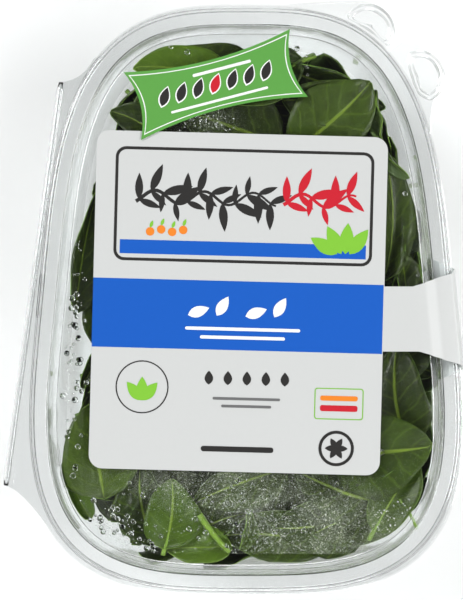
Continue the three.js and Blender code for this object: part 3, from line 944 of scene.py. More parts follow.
def smooth_step(low: float, high: float, value: float) -> float:
    """Rise smoothly from 0 at low to 1 at high."""
    share = max(0.0, min(1.0, (value - low) / (high - low)))
    return share * share * (3 - 2 * share)


@dataclass
class HingeFlap:
    """The straight flange along the -X side, where lid and tray join in a folded bead."""

    top: Flat = (-74.2, 87.6)
    foot: Flat = (-96.4, -74.6)
    meets_lip_top: Flat = (-60.5, 98.5)
    meets_lip_foot: Flat = (-78.0, -93.5)
    top_pull: Flat = (-64.5, 88.6)
    foot_pull: Flat = (-89.5, -76.5)
    bead_radius: float = 1.3
    bead_mouth: float = 32.0
    sheet: float = 0.4
    middle_z: float = 62.15
    root: float = 24.0

    def outline(self) -> list[Flat]:
        """Give the flange's outline, running in under the rim.

        Returns:
            Its corners in order.
        """
        foot_x, foot_y = self.meets_lip_foot
        top_x, top_y = self.meets_lip_top
        return [
            self.top,
            *pulled_curve(self.foot, self.foot_pull, self.meets_lip_foot, 10),
            self.meets_lip_foot,
            (foot_x + self.root, foot_y + self.root),
            (top_x + self.root, top_y - self.root),
            *pulled_curve(self.meets_lip_top, self.top_pull, self.top, 10),
        ]

    def edge_points(self) -> list[Flat]:
        """Give the points of the edge that the sheet's stations pass through.

        Returns:
            The points in order.
        """
        return [
            *pulled_curve(self.foot, self.foot_pull, self.meets_lip_foot, 10),
            *pulled_curve(self.meets_lip_top, self.top_pull, self.top, 10),
            self.top,
        ]

    def build(self, finish: bpy.types.Material) -> None:
        """Build the folded bead along the hinge line, open towards the body.

        Args:
            finish: its material.
        """
        run = Vector((*self.top, 0)) - Vector((*self.foot, 0))
        along = run.normalized()
        inwards = along.cross(Vector((0, 0, 1)))
        start = math.radians(self.bead_mouth)
        arc = [start + (2 * math.pi - 2 * start) * k / 20 for k in range(21)]
        inner = self.bead_radius - self.sheet
        section = [(self.bead_radius * math.cos(t), self.bead_radius * math.sin(t)) for t in arc]
        section += [(inner * math.cos(t), inner * math.sin(t)) for t in reversed(arc)]
        draft = MeshDraft()
        steps = 60
        base = Vector((*self.foot, self.middle_z))
        rings = []
        for k in range(steps + 1):
            share = k / steps
            ends = 1 - 0.25 * (smooth_step(0.012, 0, share) + smooth_step(0.988, 1, share))
            middle = base + run * share
            rings.append([middle + inwards * a * ends + Vector((0, 0, b * ends)) for a, b in section])
        draft.add_shell(rings)
        mount(draft.make("hinge_fold", [finish]))


@dataclass
class PullTab:
    """A rounded lobe outside the lip with a raised pad for the thumb."""

    edge: Sequence[Flat]
    pad_at: Flat
    pad_turn: float
    pad_length: float = 21.0
    pad_width: float = 13.5
    pad_clear: float = 8.2  # from the body outline, so that the pad keeps off the rim
    bead: Sequence[Flat] = ((-0.42, 0.01), (-0.34, 0.32), (0.0, 0.5), (0.34, 0.32), (0.42, 0.01))
    bead_insets: Sequence[float] = (0.45, 2.4)
    root: float = 22.0

    def edge_points(self) -> list[Flat]:
        """Give the lobe's edge as a smooth curve."""
        return curve_through(self.edge, 12)

    def outline(self) -> list[Flat]:
        """Give the lobe's outline, running in under the rim.

        Returns:
            Its corners in order.
        """
        edge = self.edge_points()
        inner = [Vector(p) * (1 - self.root / Vector(p).length) for p in (edge[-1], edge[0])]
        return [*edge, *(tuple(p) for p in inner)]

    def pad_outline(self) -> list[Flat]:
        """Give the pad's teardrop outline.

        Returns:
            Its corners in order.
        """
        half, wide = self.pad_length / 2, self.pad_width
        top = [
            (
                half * (-((1 - t) ** 3) - 3 * t * (1 - t) ** 2 + 3 * t * t * (1 - t) + t**3),
                wide * (-0.2 * ((1 - t) ** 3 + t**3) + 2.4 * t * (1 - t)),
            )
            for t in (k / 20 for k in range(20))
        ]
        low = pulled_curve((half, -0.2 * wide), (half * 0.6, -0.6 * wide), (0, -0.45 * wide), 8)
        low += pulled_curve((0, -0.45 * wide), (-half * 0.8, -0.4 * wide), (-half, -0.2 * wide), 8)
        turn = Matrix.Rotation(math.radians(self.pad_turn), 2)
        return [tuple(turn @ Vector(p) + Vector(self.pad_at)) for p in [*top, *low]]

    def build_pad(self, name: str, outline: BodyOutline, z: float, finish: bpy.types.Material) -> None:
        """Build the thumb pad: two raised beads that run round a teardrop.

        Args:
            name: the piece's name.
            outline: the body outline, which the pad keeps clear of.
            z: the flange's upper side.
            finish: its material.
        """
        edge = []
        for p in self.pad_outline():
            station = outline.dense[outline.nearest_turn(*p)]
            out = (Vector(p) - station.point).dot(station.normal)
            edge.append(Vector(p) + station.normal * max(0.0, self.pad_clear - out))
        middle = sum(edge, Vector((0, 0))) / len(edge)
        draft = MeshDraft()
        for inset in self.bead_insets:
            rings = []
            for out, lift in self.bead:
                ring = []
                for p in edge:
                    away = p - middle
                    keep = max(0.15, 1 - (inset - out) / away.length)
                    ring.append(Vector((*(middle + away * keep), z + lift)))
                rings.append(ring)
            draft.add_hoop(rings)
        mount(draft.make(name, [finish]))


LID_TAB = PullTab(
    edge=((12, 118.6), (40, 120.3), (49.8, 119.7), (56.2, 116.4), (59.4, 111.4), (60.5, 105.4)),
    pad_at=(51.0, 110.9),
    pad_turn=-36,
)
TRAY_TAB = PullTab(
    edge=((60.9, 105.0), (68, 103.4), (74.6, 98.6), (78.2, 91.2), (77.8, 84.5), (75.6, 76), (74.4, 64)),
    pad_at=(72.6, 91.0),
    pad_turn=-66,
)


@dataclass
class FormedSheet:
    """A clear sheet formed along a profile from the middle of its panel to its free edge."""

    name: str
    node: str
    outline: BodyOutline
    flap: HingeFlap
    tab: PullTab
    bends: Sequence[Bend]
    lip_edge: float
    lip_from: float
    lip_z: float
    ridge_lift: float = 0.5
    edge_roll: float = 0.22
    sheet: float = 0.28
    panel_sag: float = 0.12
    segments: int = 330
    flange_steps: Sequence[float] = (
        20, 16.5, 13.5, 11, 9, 7.5, 6.2, 5.2, 4.4, 3.8, 3.4, 3.0, 2.6, 2.2, 1.8, 1.4, 1.1, 0.8, 0.5, 0.25, 0,
    )
    panel_shares: Sequence[float] = (
        0.04, 0.12, 0.2, 0.28, 0.36, 0.44, 0.52, 0.6, 0.68, 0.75, 0.81, 0.86, 0.9, 0.93, 0.96, 0.98,
    )
    panel_wave_mm: float = 26.0

    def stations(self) -> list[OutlineStation]:
        """Choose the stations, with those that the flange's corners need."""
        return self.outline.stations(self.segments, [*self.flap.edge_points(), *self.tab.edge_points()])

    def reach(self, station: OutlineStation) -> float:
        """Give how far out the sheet's free edge is at a station.

        Args:
            station: the place round the outline.

        Returns:
            The distance from the body outline.
        """
        lip = self.lip_edge + self.outline.lip_swell(station.turn)
        start = station.point + station.normal * (lip - 0.5)
        out = max(way_out(shape, start, station.normal) for shape in self.shapes)
        return max(lip, lip - 0.5 + out)

    def flange_lift(self, x: float, from_edge: float, span: float) -> float:
        """Give how far the ridges along the hinge lift the flange at a place.

        Args:
            x: place across.
            from_edge: distance from the free edge.
            span: the flange's width there.

        Returns:
            The lift.
        """
        lift = self.edge_roll * smooth_step(-58, -40, x) * math.exp(-(((from_edge - 0.5) / 0.4) ** 2))
        hinge = smooth_step(7.0, 9.5, span) * smooth_step(-40, -50, x)
        for at in (2.6, 4.4):
            lift += hinge * self.ridge_lift * math.exp(-(((from_edge - at) / 0.42) ** 2))
        return lift

    def build(self, finish: bpy.types.Material) -> None:
        """Build both faces of the sheet, its flange and its edge as one closed shell.

        Args:
            finish: its material.
        """
        self.shapes = [self.flap.outline(), self.tab.outline()]
        stations = self.stations()
        profile = rounded_profile(self.bends)
        faces: list[list[list[Vector]]] = []
        for sign in (1, -1):
            rings = []
            for i, here in enumerate(profile):
                before, after = profile[max(i - 1, 0)], profile[min(i + 1, len(profile) - 1)]
                run = Vector((after.offset - before.offset, after.z - before.z)).normalized()
                half = sign * self.sheet / 2
                offset, z = here.offset - run.y * half, here.z + run.x * half
                rings.append([self.outline.ring_point(s, offset, z, here.flat) for s in stations])
            rings += self.flange_rings(stations, self.lip_z + sign * self.sheet / 2)
            faces.append(self.panel_rings(rings[0]) + rings)
        draft = MeshDraft()
        draft.add_shell(faces[0] + faces[1][::-1], fans=True)
        mount(draft.make(self.name, [finish]), self.node)
        self.tab.build_pad(f"{self.name}_thumb_pad", self.outline, self.lip_z + self.sheet / 2, finish)

    def panel_rings(self, edge: list[Vector]) -> list[list[Vector]]:
        """Build rings from near the middle of the flat panel out to its edge, a little wavy as formed.

        Args:
            edge: the panel's edge ring.

        Returns:
            The rings, without the edge itself.
        """
        middle = sum(edge, Vector()) / len(edge)
        rings = []
        for share in self.panel_shares:
            ring = []
            for p in edge:
                spot = middle.lerp(p, share)
                calm = 1 - share**6
                wave = lattice.noise(Vector((spot.x / self.panel_wave_mm, spot.y / self.panel_wave_mm, 3.1)))
                ring.append(spot + Vector((0, 0, self.panel_sag * calm * wave)))
            rings.append(ring)
        return rings

    def flange_rings(self, stations: Sequence[OutlineStation], z: float) -> list[list[Vector]]:
        """Build the flange's rings from the skirt's foot to the free edge.

        Args:
            stations: the places round the outline.
            z: the flange's height.

        Returns:
            The rings, from the inside out.
        """
        columns = []
        for station in stations:
            reach = self.reach(station)
            span = reach - self.lip_from
            scale = min(1.0, span / self.flange_steps[0])
            column = []
            for step in self.flange_steps:
                from_edge = step * scale
                p = self.outline.ring_point(station, reach - from_edge, z)
                p.z += self.flange_lift(p.x, from_edge, span)
                column.append(p)
            columns.append(column)
        return [list(ring) for ring in zip(*columns)]


# Paper


def turned_about(x: float, y: float, middle: Flat, turn: float) -> Flat:
    """Turn a place about the origin and move it.

    Args:
        x: place across.
        y: place along.
        middle: where the origin goes.
        turn: how far it turns, in degrees.

    Returns:
        The new place.
    """
    angle = math.radians(turn)
    return (
        middle[0] + x * math.cos(angle) - y * math.sin(angle),
        middle[1] + x * math.sin(angle) + y * math.cos(angle),
    )


@dataclass
class Label:
    """The paper label on the lid, with the seal strip that wraps over the rim to the tray's wall."""

    outline: BodyOutline
    x: float = -2.9
    y: float = -1.1
    width: float = 116.4
    height: float = 135.2
    corner: float = 5.4
    turn: float = -1.5
    paper: float = 0.24
    low: float = 69.5
    strip_y: float = -7.6
    strip_start: float = 50.0
    strip_end: float = 46.8

    def place(self, x: float, y: float) -> Flat:
        """Turn a place on the label into a place on the pack."""
        return turned_about(x, y, (self.x, self.y), self.turn)

    def strip_stations(self) -> list[tuple[float, float, float]]:
        """Give the strip's stations from the label over the rim to the tray's wall.

        Returns:
            How far out from the body outline, height and width of each.
        """
        low, top, skirt, out, under, wall = self.low, 67.4, 7.4, 8.15, 60.6, 0.8
        ends = ((0.3, under - 4, 48), (0.1, self.strip_end, 50))
        return [
            (-9, low, 26),
            (-4.6, low, 28.5),
            (-3.0, low - 0.3, 30),
            (-0.4, top + 0.3, 31.5),
            (1.2, top, 33),
            (skirt - 0.9, top, 36),
            (skirt - 0.1, top - 0.3, 36.6),
            (skirt + 0.25, top - 1.1, 37),
            (skirt + 0.5, top - 3.4, 37.8),
            (out + 0.2, 63.5, 39),
            (out + 0.7, 62.15, 40),
            (out + 0.2, under, 41),
            (wall + 2.4, under - 1.2, 46),
            *((wall + off - wall_lean(z), z, width) for off, z, width in ends),
        ]

    def build(self, finish: bpy.types.Material) -> None:
        """Build panel and strip as one sheet of paper.

        Args:
            finish: its material.
        """
        draft = MeshDraft()
        outline = [self.place(x, y) for x, y in rounded_box(0, 0, self.width, self.height, self.corner)]
        draft.add_prism(outline, self.low, self.low + self.paper)
        across = 16
        rows = [
            [
                Vector((self.strip_start, self.strip_y + 13 * (2 * k / across - 1), self.low))
                for k in range(across + 1)
            ]
        ]
        for out, z, width in self.strip_stations():
            row = []
            for k in range(across + 1):
                y = self.strip_y + width / 2 * (2 * k / across - 1)
                row.append(Vector((self.outline.half_width_at(y) + out, y, z)))
            rows.append(row)
        lifted = []
        middle = [row[across // 2] for row in rows]
        for s, row in enumerate(rows):
            run = heading_at(middle, s)
            outwards = Vector((-run.z, 0, run.x)) * self.paper
            lifted.append([p + outwards + Vector((0, 0, 0.004)) for p in row])
        draft.add_shell([[*row, *reversed(up)] for row, up in zip(rows, lifted)])
        piece = draft.make("label", [finish], smooth=False)
        piece.data.polygons.foreach_set("use_smooth", [len(f.vertices) == 4 for f in piece.data.polygons])
        piece.data.set_sharp_from_angle(angle=math.radians(35))
        mount(piece, "label")


def rounded_box(x: float, y: float, width: float, height: float, corner: float, steps: int = 6) -> list[Flat]:
    """Give a rounded rectangle's outline.

    Args:
        x: middle across.
        y: middle along.
        width: whole width.
        height: whole height.
        corner: corner radius.
        steps: divisions of a corner.

    Returns:
        Its points, anticlockwise.
    """
    points = []
    corners = ((1, -1, -90), (1, 1, 0), (-1, 1, 90), (-1, -1, 180))
    for side, end, start in corners:
        for k in range(steps + 1):
            t = math.radians(start + 90 * k / steps)
            centre_x, centre_y = x + side * (width / 2 - corner), y + end * (height / 2 - corner)
            points.append((centre_x + corner * math.cos(t), centre_y + corner * math.sin(t)))
    return points


def leaf_sign(x: float, y: float, length: float, width: float, heading: float) -> list[Flat]:
    """Give the outline of a plain printed leaf, its base at x, y.

    Args:
        x: its base across.
        y: its base along.
        length: from base to tip.
        width: where it is widest.
        heading: where the tip points, in degrees from +X.

    Returns:
        Its corners in order.
    """
    turn = Matrix.Rotation(math.radians(heading), 2)
    outline = []
    for side, shares in ((-1, range(0, 9)), (1, range(8, 0, -1))):
        for k in shares:
            u = k / 8
            half = width / 2 * math.sin(math.pi * u**0.85) ** 0.9 if 0 < u < 1 else 0.0
            outline.append(tuple(turn @ Vector((u * length, side * half)) + Vector((x, y))))
    return outline


def disc(x: float, y: float, radius: float, steps: int = 24) -> list[Flat]:
    """Give a circle's outline."""
    turns = (2 * math.pi * k / steps for k in range(steps))
    return [(x + radius * math.cos(t), y + radius * math.sin(t)) for t in turns]


class InkColour(Enum):
    """The inks of label and sticker."""

    BLUE = "1459BA"
    CHARCOAL = "2C2B2A"
    RED = "C4202F"
    ORANGE = "E8832A"
    LIME = "7FBF3A"
    GREY = "6B6C6C"
    WHITE = "EEF0EF"


@dataclass
class PrintedDesign:
    """A plain printed design of bands, leaves and rings, in shapes a hair thicker than their ink."""

    name: str
    place: Callable[[float, float], Flat]
    top: float
    ink: float = 0.03
    lift: float = 0.012
    clear: float = 0.004
    climb: float = 0.0004
    shapes: int = 0
    drafts: dict[InkColour, MeshDraft] = field(default_factory=dict)

    def next_level(self, layer: int) -> float:
        """Give the next shape's level, each a hair above the one printed before it."""
        self.shapes += 1
        return self.top + self.clear + self.lift * layer + self.climb * self.shapes

    def fill(self, colour: InkColour, outline: Sequence[Flat], layer: int = 0) -> None:
        """Print a filled shape.

        Args:
            colour: its ink.
            outline: its corners in order.
            layer: how many inks it lies over.
        """
        low = self.next_level(layer)
        draft = self.drafts.setdefault(colour, MeshDraft())
        draft.add_prism([self.place(x, y) for x, y in outline], low, low + self.ink)

    def ring(self, colour: InkColour, outer: Sequence[Flat], inner: Sequence[Flat], layer: int = 0) -> None:
        """Print the ring between two outlines.

        Args:
            colour: its ink.
            outer: its outer outline.
            inner: its inner outline, with as many corners.
            layer: how many inks it lies over.
        """
        low = self.next_level(layer)
        draft = self.drafts.setdefault(colour, MeshDraft())
        outlines = ([self.place(x, y) for x, y in outline] for outline in (outer, inner))
        draft.add_band(*outlines, low, low + self.ink)

    def vine(self, colour: InkColour, start: float, end: float) -> None:
        """Print a waving stem with leaves on both sides.

        Args:
            colour: its ink.
            start: where it begins across the panel.
            end: where it stops.
        """
        steps = max(8, round((end - start) / 1.2))
        path = []
        for k in range(steps + 1):
            x = start + (end - start) * k / steps
            path.append(Vector((x, 41.5 + 2.6 * math.sin(x * 0.32))))
        upper, lower = [], []
        for k, p in enumerate(path):
            run = heading_at(path, k)
            side = Vector((-run.y, run.x)) * (0.75 - 0.35 * k / steps)
            upper.append(tuple(p + side))
            lower.append(tuple(p - side))
        for k in range(steps):
            self.fill(colour, [lower[k], lower[k + 1], upper[k + 1], upper[k]])
        for k in range(1, steps, 4):
            run = path[min(k + 1, steps)] - path[k]
            lean = math.degrees(math.atan2(run.y, run.x))
            for turn in (52, -58):
                size = 10.0 - 2.4 * math.sin(k * 1.7 + turn)
                self.fill(colour, leaf_sign(path[k].x, path[k].y, size, size * 0.3, lean + turn))

    def build(self, slot: str) -> None:
        """Make one piece of each ink.

        Args:
            slot: not used.
        """
        for colour, draft in self.drafts.items():
            ink = CoatedPaper(f"ink_{colour.name.lower()}_{self.name}", colour.value, 0.36, 2.4, 0.05)
            mount(draft.make(f"{self.name}_{colour.name.lower()}", [ink.make()], smooth=False))


def print_label(label: Label) -> None:
    """Print the label: a headline panel of leaves, the blue band, and small signs below it.

    Args:
        label: the paper that takes it.
    """
    art = PrintedDesign("label_print", label.place, label.low + label.paper)
    art.fill(InkColour.BLUE, [(-58.2, -19.0), (57.9, -19.0), (57.9, 8.6), (-58.2, 8.6)])
    frame_outer, frame_inner = rounded_box(1.2, 38.6, 103.4, 45.6, 4.2), rounded_box(1.2, 38.6, 101.0, 43.2, 3.2)
    art.ring(InkColour.CHARCOAL, frame_outer, frame_inner)
    art.fill(InkColour.BLUE, [(-48, 18.6), (50.4, 18.6), (50.4, 24.2), (-48, 24.2)])
    for colour, start, end in ((InkColour.CHARCOAL, -42.0, 14.0), (InkColour.RED, 17.0, 46.0)):
        art.vine(colour, start, end)
    for k, x in enumerate((-36, -31.6, -27.2, -22.8)):
        art.fill(InkColour.ORANGE, disc(x, 27.6 + (k % 2) * 0.9, 1.7))
        art.fill(InkColour.LIME, leaf_sign(x, 29.2 + (k % 2) * 0.9, 3.0, 1.3, 70), 1)
    for k, heading in enumerate((150, 118, 86, 54)):
        art.fill(InkColour.LIME, leaf_sign(39 + 1.6 * k, 20.5, 12.5, 5.6, heading), 1)
    art.ring(InkColour.CHARCOAL, disc(-37.6, -34.6, 10.6, 40), disc(-37.6, -34.6, 10.1, 40))
    for heading in (50, 90, 130):
        art.fill(InkColour.LIME, leaf_sign(-37.6, -40.0, 9.5, 4.6, heading))
    for k in range(5):
        art.fill(InkColour.CHARCOAL, leaf_sign(-11.0 + k * 7.6, -33.0, 5.6, 3.4, 90))
    for k, length in enumerate((27, 20)):
        art.fill(InkColour.GREY, rounded_box(4.2, -38.4 - 3.0 * k, length, 1.1, 0.5, 3))
    art.fill(InkColour.CHARCOAL, rounded_box(1.0, -58.6, 29, 2.2, 1.0, 4))
    box_outer, box_inner = rounded_box(41.2, -39.4, 19.6, 12.6, 1.2), rounded_box(41.2, -39.4, 18.8, 11.8, 0.9)
    art.ring(InkColour.LIME, box_outer, box_inner)
    art.fill(InkColour.ORANGE, rounded_box(41.2, -37.2, 15, 2.0, 0.8))
    art.fill(InkColour.RED, rounded_box(41.2, -41.2, 15, 2.4, 0.8))
    art.ring(InkColour.CHARCOAL, disc(40.6, -57.2, 7.1, 40), disc(40.6, -57.2, 5.9, 40))
    for k in range(6):
        art.fill(InkColour.CHARCOAL, leaf_sign(40.6, -57.2, 4.6, 2.4, 60 * k))
    for k in range(4):
        art.fill(InkColour.WHITE, leaf_sign(-20 + k * 11.5, -5.4, 9.0, 4.4, 20 + (k % 2) * 40), 2)
    for k, length in enumerate((46, 34)):
        art.fill(InkColour.WHITE, rounded_box(2.0, -10.6 - 3.4 * k, length, 1.3, 0.6, 3), 2)
    art.build("label_paper")


@dataclass
class Sticker:
    """The small second sticker, a four-pointed banner across the label's top corner."""

    x: float = -12.0
    y: float = 86.1
    length: float = 68.8
    height: float = 28.0
    turn: float = 14.6
    long_pinch: float = 4.0
    short_pinch: float = 3.3
    low: float = 70.15
    film: float = 0.2

    def place(self, x: float, y: float) -> Flat:
        """Turn a place on the sticker into a place on the pack."""
        return turned_about(x, y, (self.x, self.y), self.turn)

    def banner(self, inset: float) -> list[Flat]:
        """Give the banner's outline, drawn in by an inset.

        Args:
            inset: how far it is drawn in.

        Returns:
            Its corners in order.
        """
        a, b = self.length / 2 - inset * 1.5, self.height / 2 - inset * 1.5
        corners = [(-a, -b), (a, -b), (a, b), (-a, b)]
        long_pull, short_pull = 2 * self.long_pinch - 0.9 * inset, 2 * self.short_pinch - 0.6 * inset
        pulls = [(0, -b + long_pull), (a - short_pull, 0), (0, b - long_pull), (-a + short_pull, 0)]
        outline = []
        for k in range(4):
            outline += pulled_curve(corners[k], pulls[k], corners[(k + 1) % 4], 12)
        return outline

    def build(self, finish: bpy.types.Material) -> None:
        """Build the film and its print.

        Args:
            finish: the film's material.
        """
        draft = MeshDraft()
        draft.add_prism([self.place(x, y) for x, y in self.banner(0)], self.low, self.low + self.film)
        mount(draft.make("sticker", [finish], smooth=False), "sticker")
        art = PrintedDesign("sticker_print", self.place, self.low + self.film)
        art.ring(InkColour.WHITE, self.banner(1.1), self.banner(1.45))
        for k in range(7):
            colour = InkColour.RED if k == 3 else InkColour.CHARCOAL
            art.fill(InkColour.WHITE, leaf_sign(-23.4 + 7 * k, -3.6, 9.2, 4.6, 58))
            art.fill(colour, leaf_sign(-23.0 + 7 * k, -3.0, 7.9, 3.6, 58))
        art.fill(InkColour.WHITE, rounded_box(4, 5.6, 24, 1.2, 0.5, 3))
        art.fill(InkColour.WHITE, rounded_box(0, -6.4, 40, 1.0, 0.45, 3))
        art.build("sticker_paper")


# Spinach


@dataclass(frozen=True)
class ShownLeaf:
    """A leaf that shows beside the label: its blade's middle, the way it points, its size and how it lies.

    Depth is measured down from the lid, tip and edge are the lifts of tip and left edge in degrees, tone runs
    from dark to bright, partly the leaf's own tone and partly painted light and shade for how lit it looks where
    it lies, and fold is how steeply both halves rise from the midrib.
    """

    x: float
    y: float
    heading: float
    length: float
    width: float
    depth: float
    tip: float = 0.0
    edge: float = 0.0
    tone: float = 0.5
    fold: float = 8.0
    stalk: float = 0.0
    turned: bool = False
    held_back: float = 0.5


SHOWN_LEAVES = [
    ShownLeaf(*row)
    for row in (
        # round from the hinge side's middle, anticlockwise
        (-64.5, 19, 80, 49, 16, 6, 2, 34, 0.3, 10, 0, False, 0.0),
        (-53, 51, 196, 28, 14, 9, 4, 10, 0.4, 12),
        (-58, -4, 262, 32, 15, 11, -4, 12, 0.45),
        (-61, -27, 236, 20, 9, 13, 6, -14, 0.4, 20),
        (-63, -38, 250, 13, 6, 12, 6, -14, 0.5, 20),
        (-61, -62, 97, 39, 32, 3, 2, 4, 0.64, 5),
        (-50, -75, 66, 30, 20, 9, 5, -8, 0.08, 10),
        (-72, -86, 118, 20, 9, 24, 5, 8, 1.0, 10, 0, False, 0.0),
        (-41, -83, 100, 34, 22, 7, 4, -6, 0.3, 10),
        (-30, -86, 84, 28, 25, 4, -3, 6, 0.78, 16, 3),
        (-12, -90, 25, 26, 17, 7, 6, -14, 0.06, 26),
        (-19, -101.5, 182, 26, 15, 5, -3, 10, 0.95, 6, 0, False, 0.0),
        (-2, -74, 200, 40, 22, 5, 4, -8, 0.3, 16),
        (1, -93, 80, 17, 6, 5, 10, 20, 0.6, 24),
        (14, -88, 20, 44, 32, 12, -4, 6, 0.0, 12),
        (12, -99, 174, 42, 22, 8, 3, 5, 0.4, 8, 0, False, 0.0),
        (38, -76, 160, 40, 28, 7, 4, 8, 0.12, 14),
        (33, -95, 190, 40, 26, 8, -5, -9, 0.3, 12, 0, False, 0.2),
        (57, -63, 3, 43, 37, 3, 3, 7, 0.5, 7),
        (47, -89, 200, 40, 26, 8, -6, -9, 0.25, 9),
        (63, -82, 60, 34, 20, 6, 5, 10, 0.62, 14, 5, False, 0.0),
        (61, -38, 96, 40, 30, 7, 4, -10, 0.08, 14),
        (67, -22, 62, 38, 22, 10, -6, 18, 0.1, 18),
        (64, 3, 78, 34, 20, 8, 5, -26, 0.02, 16),
        (61, 35, 90, 52, 17, 6, 3, 34, 0.3, 12),
        (68.5, 24, 82, 44, 11, 9, -4, 44, 0.22, 12),
        (64, 8, 98, 26, 12, 8, 4, 30, 0.1, 14),
        (59, 60, -52, 26, 9, 6, 3, 40, 0.6, 16, 0, True),
        (54, 75, 97, 23, 9, 5, 4, -52, 0.75, 14, 0, True),
        (36, 74, 42, 42, 32, 3, 2, 5, 0.55, 8),
        (33, 82, 8, 36, 22, 7, -3, 14, 0.12, 34),
        (37, 89, -20, 47, 24, 10, -3, 26, 0.15, 32),
        (14, 86, 120, 36, 26, 13, 4, -8, 0.05, 12),
        (7, 88, 206, 37, 22, 7, 4, 9, 0.45, 18, 9),
        (-6, 70, 160, 44, 32, 9, -4, 9, 0.12, 12),
        (-17, 94, 20, 36, 21, 9, 3, -10, 0.3, 16),
        (-28, 97, 174, 38, 20, 4, 5, 10, 0.98, 8),
        (-43, 71, 150, 25, 15, 6, -4, 8, 0.3, 14),
    )
]

# Loose stalks: both ends across and along, depth under the lid, radius
LOOSE_STALKS = (
    (-18.5, -86.0, -6.5, -101.0, 0.6, 1.4),
    (62.0, -80.0, 69.0, -92.0, 5.0, 0.85),
    (55.0, -53.5, 60.0, -52.0, 2.6, 1.1),
    (19.0, 94.0, 28.5, 98.0, 5.0, 0.9),
    (-44.0, -66.0, -41.0, -80.0, 5.0, 0.6),
)


class Bed:
    """A bed in which leaves settle one on another, as a height map over two flat coordinates."""

    def __init__(self, low: Flat, high: Flat, ground: float, ceiling: float, cell: float = 1.2) -> None:
        """Lay out an empty bed.

        Args:
            low: lowest flat coordinates.
            high: highest flat coordinates.
            ground: height of the bare bed.
            ceiling: height that no leaf passes.
            cell: size of a cell of the map.
        """
        self.low, self.cell, self.ceiling = low, cell, ceiling
        self.wide = int((high[0] - low[0]) / cell) + 2
        self.long = int((high[1] - low[1]) / cell) + 2
        self.heights = [[ground] * self.long for _ in range(self.wide)]

    def cell_of(self, x: float, y: float) -> tuple[int, int]:
        """Give the cell that holds a place.

        Args:
            x: place across.
            y: place along.

        Returns:
            The cell's two numbers.
        """
        i = int((x - self.low[0]) / self.cell)
        j = int((y - self.low[1]) / self.cell)
        return max(0, min(self.wide - 1, i)), max(0, min(self.long - 1, j))

    def height(self, x: float, y: float) -> float:
        """Give the height of what lies at a place."""
        i, j = self.cell_of(x, y)
        return self.heights[i][j]

    def settle(self, rows: list[list[Vector]], gap: float = 0.55) -> None:
        """Lift a leaf's points until it lies on what is below, and smooth it.

        Args:
            rows: the leaf's grid of points, changed in place.
            gap: clearance that it keeps.
        """
        last = len(rows) - 1
        for turn in range(4):
            for row in rows:
                for p in row:
                    p.z = min(self.ceiling, max(p.z, self.height(p.x, p.y) + gap))
            if turn == 3:
                break
            heights = [[p.z for p in row] for row in rows]
            for r, row in enumerate(rows):
                for k, p in enumerate(row):
                    near = [
                        heights[max(r - 1, 0)][k],
                        heights[min(r + 1, last)][k],
                        heights[r][max(k - 1, 0)],
                        heights[r][min(k + 1, len(row) - 1)],
                    ]
                    p.z = 0.4 * p.z + 0.15 * sum(near)

    def lay(self, rows: list[list[Vector]], thick: float) -> None:
        """Raise the map to a settled leaf's upper side.

        Args:
            rows: the leaf's grid of points.
            thick: the leaf's thickness.
        """
        for row, after in zip(rows, rows[1:]):
            for a, b, c, d in zip(row, row[1:], after[1:], after):
                steps = max(1, math.ceil(max((c - a).length, (d - b).length) / self.cell))
                for i in range(steps + 1):
                    left, right = a.lerp(d, i / steps), b.lerp(c, i / steps)
                    for j in range(steps + 1):
                        p = left.lerp(right, j / steps)
                        x, y = self.cell_of(p.x, p.y)
                        self.heights[x][y] = max(self.heights[x][y], p.z + thick)


@dataclass
class LeafShape:
    """One baby spinach leaf: a stalk and an oval blade, cupped about its midrib."""

    length: float
    width: float
    cup: float
    bend: float
    wave: float
    stalk: float
    phase: float
    fold: float = 8.0
    unevenness: float = 0.08
    sway: float = 0.28
    along: int = 18
    across: int = 11

    def half(self, u: float, side: float = 0.0) -> float:
        """Give the blade's half width at a share of its length, on its left (-1) or right (1) side.

        Args:
            u: share of the length, from the stalk.
            side: which side.

        Returns:
            The half width.
        """
        if u <= 0.0 or u >= 1.0:
            return 0.35
        uneven = 1 + self.unevenness * math.sin(3 * self.phase + 7 * u + 1.4 * side)
        return 0.35 + self.width / 2 * math.sin(math.pi * u**0.8) ** 0.66 * (1 - 0.1 * u) * uneven

    def rows(self) -> list[list[Vector]]:
        """Build the blade's upper side, lying along +X with its middle at the origin.

        Returns:
            Rows of points across the blade, from the stalk to the tip.
        """
        rows = []
        slope = math.radians(self.fold)
        for r in range(self.along):
            u = r / (self.along - 1)
            aside = self.sway * math.sin(5 * self.phase) * self.length * ((u - 0.5) ** 2 - 0.08)
            row = []
            for k in range(self.across):
                v = 2 * k / (self.across - 1) - 1
                half = self.half(u, math.copysign(1, v))
                share = half / (self.width / 2)
                ripple = self.wave * v * v * share * math.sin(self.phase + u * 11 + v * 2.2)
                pucker = 0.45 * share * abs(math.sin(u * 19 - abs(v) * 4.5)) * (1 - abs(v))
                groove = -0.5 * math.exp(-((v * half / 1.3) ** 2))
                rise = half * (math.hypot(v, 0.16) - 0.16) * math.sin(slope)
                lift = self.cup * v * v * share - self.bend * (u - 0.5) ** 2 + ripple + pucker + groove + rise
                row.append(Vector(((u - 0.5) * self.length, v * half * math.cos(slope) + aside, lift)))
            rows.append(row)
        return rows


